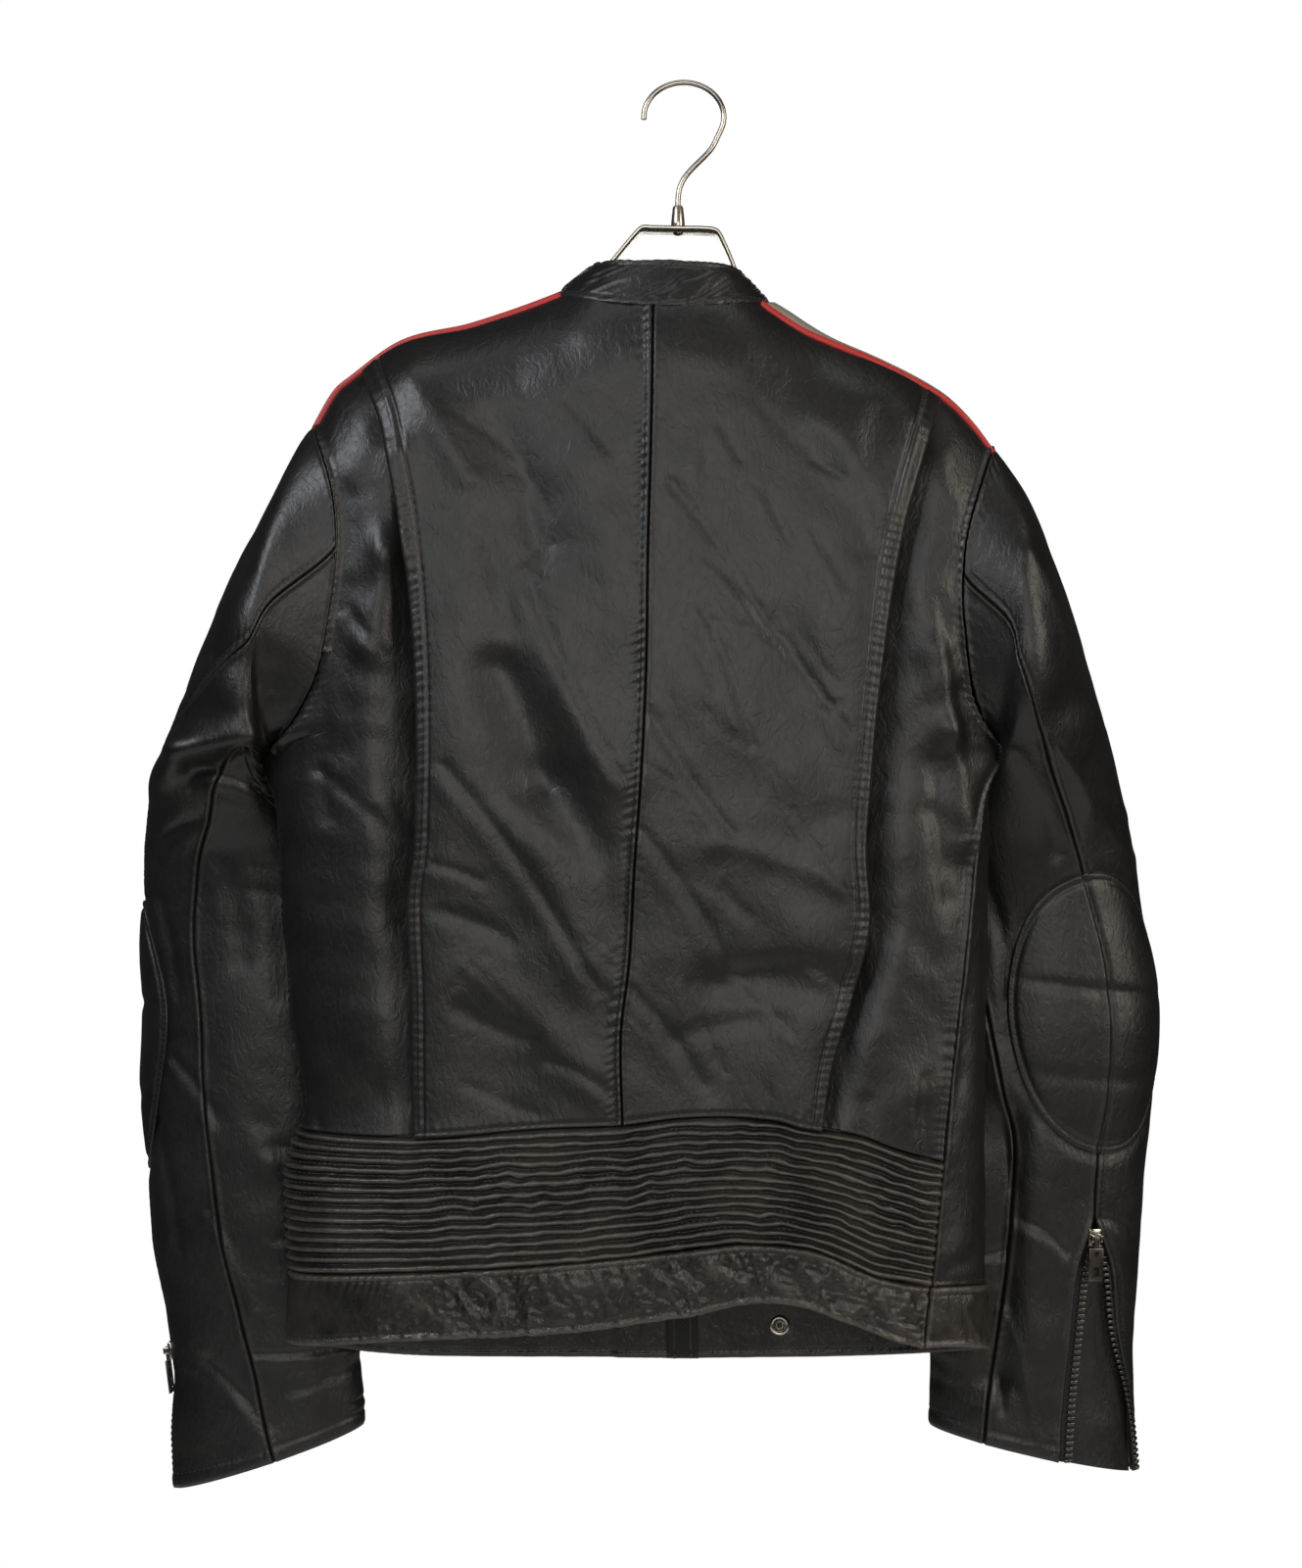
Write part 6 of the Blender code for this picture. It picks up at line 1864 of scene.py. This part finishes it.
    def cuff(self) -> None:
        """Builds the gusset, the two tapes and their teeth."""
        form, top, end = self.form, self.zip_top, self.end
        gusset = [depth + self.tape + 0.66 * MM for depth in self.tape_depth]
        u, down = grid(np.linspace(0, 1, 34), np.linspace(top + 0.3, end, 90))
        back, front = form.seams(down)[1] - 0.55, form.seams(down)[2] + 0.55
        column = back + (front - back) * u
        depth = gusset[0] + (gusset[1] - gusset[0]) * u
        fold = 1.2 * MM * np.abs(RIDGES(u * 30 * MM, down * 12 * MM, 9 * MM))
        skin = form.offset(column, down, -depth - fold)
        flesh = form.offset(column, down, -depth - fold - 1.2 * MM)
        net = Net(skin, flesh - (skin - flesh) * 20)
        self.dress(shell(f"cuff_gusset_{self.word}_panel", skin, flesh, net.turned, self.finishes.hide,
                         0.2 * np.ones(skin.shape[:2])), f"cuff_gusset_{self.word}", net)
        for word, sign, depth in (("back", 1, self.tape_depth[0]), ("front", -1, self.tape_depth[1])):
            edge = 1 if sign > 0 else 2
            u, down = grid(np.linspace(-0.45, 0.12, 8), np.linspace(top + 0.6, end, 80))
            column = form.seams(down)[edge] + sign * u
            drop = np.where(u < -0.1, -depth, -depth + (depth - 1.2 * MM) * np.clip((u + 0.1) / 0.1, 0, 1))
            skin, flesh = form.offset(column, down, drop), form.offset(column, down, drop - self.tape)
            net = Net(skin, flesh - (skin - flesh) * 20)
            name = f"cuff_zip_{word}_{self.word}"
            made = shell(f"{name}_tape", skin, flesh, net.turned, self.finishes.tape)
            self.dress(made, name, net)
            down = np.linspace(top + 0.3, end + 0.02, 400)
            path = form.offset(form.seams(down)[edge] + sign * 0.17, down, -1.0 * MM)
            away = travelled(path)
            at = np.arange(0, away[-1], self.tooth_pitch) + (self.tooth_pitch / 2 if sign < 0 else 0)
            at = at[at < away[-1]]
            where = np.interp(at, away, down)
            place, along, facing = form.frame(form.seams(where)[edge] + sign * 0.24, where)
            place = place + facing * (form.folds(place, facing) - 0.2 * MM)[..., None]
            frames = np.stack([np.cross(along, facing), along, facing], 1)
            tooth = block((5.0 * MM, 2.0 * MM, 2.4 * MM), 0.45 * MM, 2)
            teeth = strewn(f"{name}_teeth", tooth, frames, place, self.finishes.gunmetal)
            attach(teeth, "jacket")

    def dress(self, made: Piece, node: str, net: Net) -> None:
        stand_in(made, node)
        declare_sheet(made, net.width, net.length, net.area)

    def build(self) -> None:
        """Builds the whole sleeve."""
        form = self.form
        welt = Sewn(roll=1.0 * MM, pucker=0.3 * MM)
        seam = Sewn(roll=0.5 * MM, pucker=0.4 * MM)
        top_seam = Sewn(stitch=5.0 * MM, pucker=0.6 * MM)
        hem = Sewn(0.8 * MM, 1.2 * MM, raised=0.4 * MM, stitch=9 * MM, pucker=0.5 * MM)
        head = Sewn(1.4 * MM, roll=0.8 * MM, pucker=0.8 * MM, pucker_reach=10 * MM, pucker_pitch=9 * MM)
        self.panel(f"sleeve_under_{self.word}", lambda down: form.seams(down)[0],
                   lambda down: form.seams(down)[1], 80 * MM, 25.0 + self.side.value,
                   {Border.LEFT: seam, Border.RIGHT: welt, Border.TOP: hem, Border.BOTTOM: head})
        self.panel(f"sleeve_top_{self.word}", lambda down: form.seams(down)[2],
                   lambda down: form.seams(down)[0] + SLEEVE_COLUMNS, 240 * MM, 28.0 + self.side.value,
                   {Border.LEFT: top_seam, Border.RIGHT: seam, Border.TOP: hem, Border.BOTTOM: head})
        self.elbow_pad()
        self.cuff()
        self.thread.build(self.finishes.thread)


# -------------------------------------------------------------------------------------------------- metal


def rounded(name: str, parts: Sequence[tuple[Sequence[float], Sequence[float], float]], place: Matrix,
            finish: Material, holes: Sequence[tuple[Sequence[float], Sequence[float]]] = ()
            ) -> Piece:
    """Blocks joined into one piece, with holes cut out and all edges rounded.

    Args:
        name: the piece's name.
        parts: each block's lowest and highest corner and its edges' radius.
        place: the frame that the corners are in.
        finish: the material.
        holes: each hole's lowest and highest corner.

    Returns:
        The piece.
    """

    def solid(low: Sequence[float], high: Sequence[float], bevel: float) -> Piece:
        """One block in the frame."""
        size, middle = Vector(high) - Vector(low), (Vector(high) + Vector(low)) / 2
        points, faces = block(size, bevel, 3) if bevel else block(size, 0.01 * MM)
        return mesh_object(name, points + np.array(middle), faces, finish)

    body, *others = [solid(low, high, bevel) for low, high, bevel in parts]
    cuts = [solid(low, high, 0.5 * MM) for low, high in holes]
    for other, operation in [(o, "UNION") for o in others] + [(o, "DIFFERENCE") for o in cuts]:
        join = body.modifiers.new("Join", "BOOLEAN")
        join.object, join.operation, join.solver = other, operation, "EXACT"
    bpy.context.view_layer.update()
    mesh = bpy.data.meshes.new_from_object(body.evaluated_get(bpy.context.evaluated_depsgraph_get()))
    for spare in (body, *others, *cuts):
        bpy.data.objects.remove(spare)
    mesh.transform(place)
    mesh.shade_smooth()
    mesh.set_sharp_from_angle(angle=math.radians(40))
    mesh.materials.clear()
    mesh.materials.append(finish)
    return linked(name, mesh)


def turned_piece(name: str, profile: Sequence[tuple[float, float]], place: Matrix,
                 finish: Material) -> Piece:
    """A round piece turned from a profile of radius and height.

    Args:
        name: the piece's name.
        profile: radius and height in millimetres, from one end of the axis to the other.
        place: its frame.
        finish: the material.

    Returns:
        The piece.
    """
    shape = bmesh.new()
    verts = [shape.verts.new((radius * MM, 0, height * MM)) for radius, height in profile]
    edges = [shape.edges.new(pair) for pair in zip(verts, verts[1:])]
    bmesh.ops.spin(shape, geom=verts + edges, cent=(0, 0, 0), axis=(0, 0, 1), angle=math.tau, steps=64,
                   use_merge=True)
    bmesh.ops.remove_doubles(shape, verts=shape.verts, dist=0.001 * MM)
    bmesh.ops.recalc_face_normals(shape, faces=shape.faces)
    shape.transform(place)
    mesh = bpy.data.meshes.new(name)
    shape.to_mesh(mesh)
    shape.free()
    mesh.shade_smooth()
    mesh.set_sharp_from_angle(angle=math.radians(35))
    mesh.materials.append(finish)
    return linked(name, mesh)


@dataclass
class ZipSlider:
    """A slider with two lugs, and the slotted pull tab that hangs from the pin between them."""

    finishes: Finishes
    name: str
    foot: Array
    down: Array
    outward: Array
    half_width: float = 4.2 * MM
    half_length: float = 5.5 * MM
    height: float = 2.6 * MM
    pin_height: float = 4.6 * MM
    tab_length: float = 27 * MM

    def build(self) -> None:
        """Builds the slider and its tab."""
        outward, down = Vector(self.outward), Vector(self.down)
        down = (down - outward * down.dot(outward)).normalized()
        place = Matrix((down.cross(outward), down, outward)).transposed().to_4x4()
        place.translation = Vector(self.foot)
        wide, long, lug = self.half_width, self.half_length, 2.4 * MM
        top = self.pin_height + 1.6 * MM
        crown = ((-wide * 0.7, -long * 0.8, self.height - 0.4 * MM),
                 (wide * 0.7, long * 0.6, self.height + 0.5 * MM))
        lugs = [((x, -2.1 * MM, 1 * MM), (x + 1.2 * MM, 2.1 * MM, top - 0.1 * MM), 0.4 * MM)
                for x in (-lug - 1.2 * MM, lug)]
        body = rounded(f"{self.name}_slider_body",
                       [((-wide, -long, 0), (wide, long, self.height), 0.8 * MM), (*crown, 0.35 * MM), *lugs],
                       place, self.finishes.bright)
        stand_in(body, f"{self.name}_slider")
        pin = place @ Matrix.Translation((0, 0, self.pin_height))
        tab = rounded(
            f"{self.name}_pull_tab",
            [((-5 * MM, 6 * MM, -0.7 * MM), (5 * MM, self.tab_length, 0.7 * MM), 0.5 * MM),
             ((-1.6 * MM, 0, -0.6 * MM), (1.6 * MM, 7 * MM, 0.6 * MM), 0.3 * MM),
             ((-2.1 * MM, -1 * MM, -1 * MM), (2.1 * MM, 1 * MM, 1 * MM), 0.6 * MM)],
            pin, self.finishes.gunmetal, [((-2 * MM, 18 * MM, -2 * MM), (2 * MM, 24 * MM, 2 * MM)),
                                          ((-1.4 * MM, 8.5 * MM, -2 * MM), (1.4 * MM, 11 * MM, 2 * MM))])
        stand_in(tab, f"{self.name}_pull", f"{self.name}_pull")
        LOG.info("%s: slider and pull tab", self.name)


@dataclass
class HemSnap:
    """The snap inside the hem band, with its raised ring and its dimpled centre."""

    finishes: Finishes
    x: float = 61 * MM
    height: float = -769 * MM
    radius: float = 6.8 * MM

    def build(self) -> None:
        """Builds the snap."""
        height = np.array(self.height)
        angle = TRUNK.angle_at(np.array(self.x), height, Face.FRONT_RIGHT)
        normal = TRUNK.normal(angle, height)
        place = Vector(-normal).to_track_quat("Z", "Y").to_matrix().to_4x4()
        place.translation = Vector(TRUNK.point(angle, height) - normal * 0.4 * MM)
        radius = self.radius / MM
        rings = [(0, 0.2), (1.2, 0.2), (1.5, 1.2), (2.2, 1.8), (2.8, 1.3), (3.2, 0.5), (3.6, 0.5), (4.0, 1.2),
                 (4.6, 1.7), (5.2, 1.8), (5.8, 1.5), (6.4, 0.9), (radius, 0.3), (radius, 0), (0, 0)]
        snap = turned_piece("hem_snap_ring", rings, place, self.finishes.nickel)
        stand_in(snap, "hem_snap")
        LOG.info("hem snap: %.1f mm across", 2 * radius)


@dataclass
class Hanger:
    """The wire hook, its ferrule and rivet, and the bent strip whose arms carry the shoulders."""

    finishes: Finishes
    wire: float = 3.4 * MM
    strip_width: float = 18 * MM
    strip_thickness: float = 2 * MM
    seat: float = 3.3 * MM
    stem_x: float = -3.6 * MM

    def hook(self) -> None:
        """Builds the hook as one smooth wire with capped ends."""
        centre, loop_x, loop_z = -19.4 * MM, 24.6 * MM, 21.1 * MM
        arc = np.radians(np.linspace(184, -28, 21))
        points = [(loop_x * math.cos(t), 0, centre + loop_z * math.sin(t)) for t in arc]
        neck = [(17.5, -38.5), (11.4, -45), (5, -51), (0, -57), (-2.8, -63), (-3.6, -69), (-3.6, -73.7)]
        points += [(x * MM, 0, z * MM) for x, z in neck]
        curve = bpy.data.curves.new("hanger_hook_wire", "CURVE")
        curve.dimensions = "3D"
        curve.bevel_depth, curve.bevel_resolution, curve.use_fill_caps = self.wire / 2, 6, True
        curve.resolution_u = 6
        spline = curve.splines.new("NURBS")
        spline.points.add(len(points) - 1)
        for knot, point in zip(spline.points, points):
            knot.co = (*point, 1)
        spline.use_endpoint_u, spline.order_u = True, 3
        curve.materials.append(self.finishes.nickel)
        stand_in(linked("hanger_hook_wire", curve), "hanger_hook")

    def strip(self) -> None:
        """Builds the strip, rounded along its edges."""

        def arm(x: float) -> tuple[float, float]:
            """A place on an arm, just below the shoulder's inside."""
            place = np.array([x - 1, x, x + 1]) * MM
            height = TRUNK.shoulder(place)
            slope = float(height[2] - height[0]) / (2 * MM)
            return x, (float(height[1]) - self.seat * math.hypot(1, slope)) / MM

        handle = [(-76, -136), (-68, -134), (-58, -124.5), (-45, -110.4), (-30, -92.5), (-25.5, -88.6),
                  (-20, -88.6), (-3.6, -88.9), (16, -89.4), (20.5, -91), (24, -97), (30, -111), (34, -123),
                  (38.5, -133), (43.5, -141), (49, -142.6), (56, -143.2)]
        path = [arm(x) for x in (-196, -180, -162, -142, -122, -102, -84)] + handle
        path += [arm(x) for x in (72, 90, 110, 130, 148, 164)]
        line = np.array(path) * MM
        away = travelled(line)
        smooth = Curve([(a, *p) for a, p in zip(away, line)], 1, 1)
        at = np.linspace(0, away[-1], 360)
        centre = smooth.all(at)
        run = unit(np.gradient(centre, axis=0))
        normal = np.stack([-run[:, 1], run[:, 0]], -1)
        half, thick, edge = self.strip_width / 2, self.strip_thickness / 2, 0.7 * MM
        quarter = [(half - edge, -thick), (half - 0.2 * edge, -thick + 0.5 * edge), (half, 0),
                   (half - 0.2 * edge, thick - 0.5 * edge), (half - edge, thick)]
        ring = [(-half + edge, -thick), *quarter, *[(-side, off) for side, off in quarter[:0:-1]]]
        rows = [np.stack([centre[:, 0] + normal[:, 0] * off, np.full(len(at), side),
                          centre[:, 1] + normal[:, 1] * off], -1) for side, off in ring]
        points = np.stack(rows, 1)
        count = len(ring)
        index = np.arange(len(at) * count).reshape(len(at), count)
        nxt = np.roll(index, -1, axis=1)
        faces = np.stack([index[:-1], nxt[:-1], nxt[1:], index[1:]], -1).reshape(-1, 4).tolist()
        faces += [index[0][::-1].tolist(), index[-1].tolist()]
        made = mesh_object("hanger_strip_bent", points, faces, self.finishes.nickel)
        made.data.set_sharp_from_angle(angle=math.radians(35))
        stand_in(made, "hanger_strip")

    def fittings(self) -> None:
        """Builds the ferrule over the strip and the hollow rivet under it."""
        stem = Matrix.Translation((self.stem_x, 0, 0))
        ferrule = [(0, -74), (2.4, -74), (2.9, -74.3), (3.3, -75.2), (3.9, -81), (4.2, -84), (4.2, -86.8),
                   (3.9, -87.4), (0, -87.5)]
        rivet = [(0, -90.4), (3, -90.4), (2.9, -91.2), (2.3, -91.7), (1.6, -91.6), (1.3, -90.9), (0, -90.8)]
        for node, profile, finish in (("hanger_ferrule", ferrule, self.finishes.nickel),
                                      ("hanger_rivet", rivet, self.finishes.gunmetal)):
            stand_in(turned_piece(f"{node}_turned", profile, stem, finish), node)

    def build(self) -> None:
        """Builds the hanger."""
        self.hook()
        self.strip()
        self.fittings()
        LOG.info("hanger: hook, ferrule, rivet and strip")


# ------------------------------------------------------------------------------------------------- studio


@dataclass
class Studio:
    """The pale floor, the soft lights and the camera behind the jacket."""

    distance: float = 1.4
    camera_x: float = -0.0201
    camera_z: float = -0.4278
    photo_height: float = 0.96
    floor: float = -1.3
    room: float = 0.05

    def camera(self) -> None:
        """Puts the camera level behind the jacket's middle."""
        data = bpy.data.cameras.new("camera")
        data.sensor_width = 36
        data.lens = data.sensor_width * self.distance / self.photo_height
        made = linked("camera", data)
        made.location = (self.camera_x, -self.distance, self.camera_z)
        made.rotation_euler = (math.pi / 2, 0, 0)
        bpy.context.scene.camera = made

    def light(self, name: str, place: tuple[float, float, float], size: tuple[float, float], power: float,
              colour: str) -> None:
        """Adds a soft rectangular light that points at the jacket's middle.

        Args:
            name: its name.
            place: where it hangs.
            size: its width and height.
            power: its power in watts.
            colour: its colour as a hex code.
        """
        data = bpy.data.lights.new(name, "AREA")
        data.shape, data.size, data.size_y, data.energy = "RECTANGLE", size[0], size[1], power
        data.color = linear(colour)[:3]
        made = linked(name, data)
        made.location = place
        aim = Vector((self.camera_x, 0, self.camera_z)) - Vector(place)
        made.rotation_euler = aim.to_track_quat("-Z", "Y").to_euler()

    def build(self) -> None:
        """Builds the floor, the world, the lights and the camera."""
        surface, paper, shader, _ = new_surface("pale_floor_paper")
        feed(paper, shader, {"Base Color": linear("#f4f4f2"), "Roughness": 0.9})
        corners = np.array([(x, y, self.floor) for x, y in ((-1, -1), (1, -1), (1, 1), (-1, 1))])
        floor = mesh_object("floor", corners, [[0, 1, 2, 3]], surface, smooth=False)
        world = bpy.data.worlds.new("studio")
        bpy.context.scene.world = world
        world.use_nodes = True
        tree = world.node_tree
        seen = tree.nodes["Background"]
        feed(tree, seen, {"Color": linear("#ffffff")})
        room = add_node(tree, "Background", {"Color": linear("#d6d6d2"), "Strength": self.room})
        path = add_node(tree, "LightPath")
        mixed = add_node(tree, "MixShader", {0: path.outputs["Is Camera Ray"], 1: room, 2: seen})
        feed(tree, tree.nodes["World Output"], {"Surface": mixed})
        bpy.context.scene.view_settings.view_transform = "Standard"
        self.light("window", (-1.5, -1.7, 0.9), (1.1, 0.9), 30, "#f6f8ff")
        self.light("front_sheet", (0.15, -2.9, -0.1), (1.8, 1.4), 19, "#fffdf8")
        self.light("fill", (1.7, -1.3, 0.1), (0.7, 1.6), 18, "#fff4e8")
        self.light("overhead", (0.1, -0.5, 1.4), (1.4, 0.5), 4, "#ffffff")
        self.light("rear_sheet", (0.0, 2.6, 0.3), (1.8, 1.4), 20, "#fffdf8")
        self.camera()



def dress_sliders(finishes: Finishes, sleeves: Sequence[Sleeve]) -> None:
    """Builds the three sliders with their pull tabs.

    Args:
        finishes: the jacket's finishes.
        sleeves: the sleeves whose cuffs they close.
    """
    for sleeve in sleeves:
        top = sleeve.zip_top
        point, along, normal = sleeve.form.frame(sleeve.form.seams(top)[1], top + 0.2)
        ZipSlider(finishes, f"cuff_zip_{sleeve.word}", point + normal * 0.6 * MM, along, normal).build()
    height = np.array(zip_top() - 8 * MM)
    angle = TRUNK.angle_at(Curve(ZIP_LINE)(height), height, Face.FRONT_RIGHT)
    normal = TRUNK.normal(angle, height)
    foot = TRUNK.point(angle, height) + normal * 1.9 * MM
    ZipSlider(finishes, "front_zip", foot, np.array([0.0, 0.0, -1.0]), normal).build()


def main() -> None:
    """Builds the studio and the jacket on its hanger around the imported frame."""
    logging.basicConfig(level=logging.INFO, format="%(message)s")
    for old in list(bpy.data.objects):
        bpy.data.objects.remove(old)
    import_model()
    Studio().build()
    finishes = Finishes()
    Hanger(finishes).build()
    Back(finishes).build()
    Front(finishes).build()
    Collar(finishes).build()
    ShoulderTrim(finishes).build()
    sleeves = [
        Sleeve(finishes, Side.LEFT, 10.8, 10.15, 14.4, (2.5 * MM, 2.7 * MM), LEFT_SLEEVE_CREASES),
        Sleeve(finishes, Side.RIGHT, 6.8, 9.45, 12.35, (1.8 * MM, 3.6 * MM), RIGHT_SLEEVE_CREASES),
    ]
    for sleeve in sleeves:
        sleeve.build()
    dress_sliders(finishes, sleeves)
    HemSnap(finishes).build()


if __name__ == "__main__":
    main()
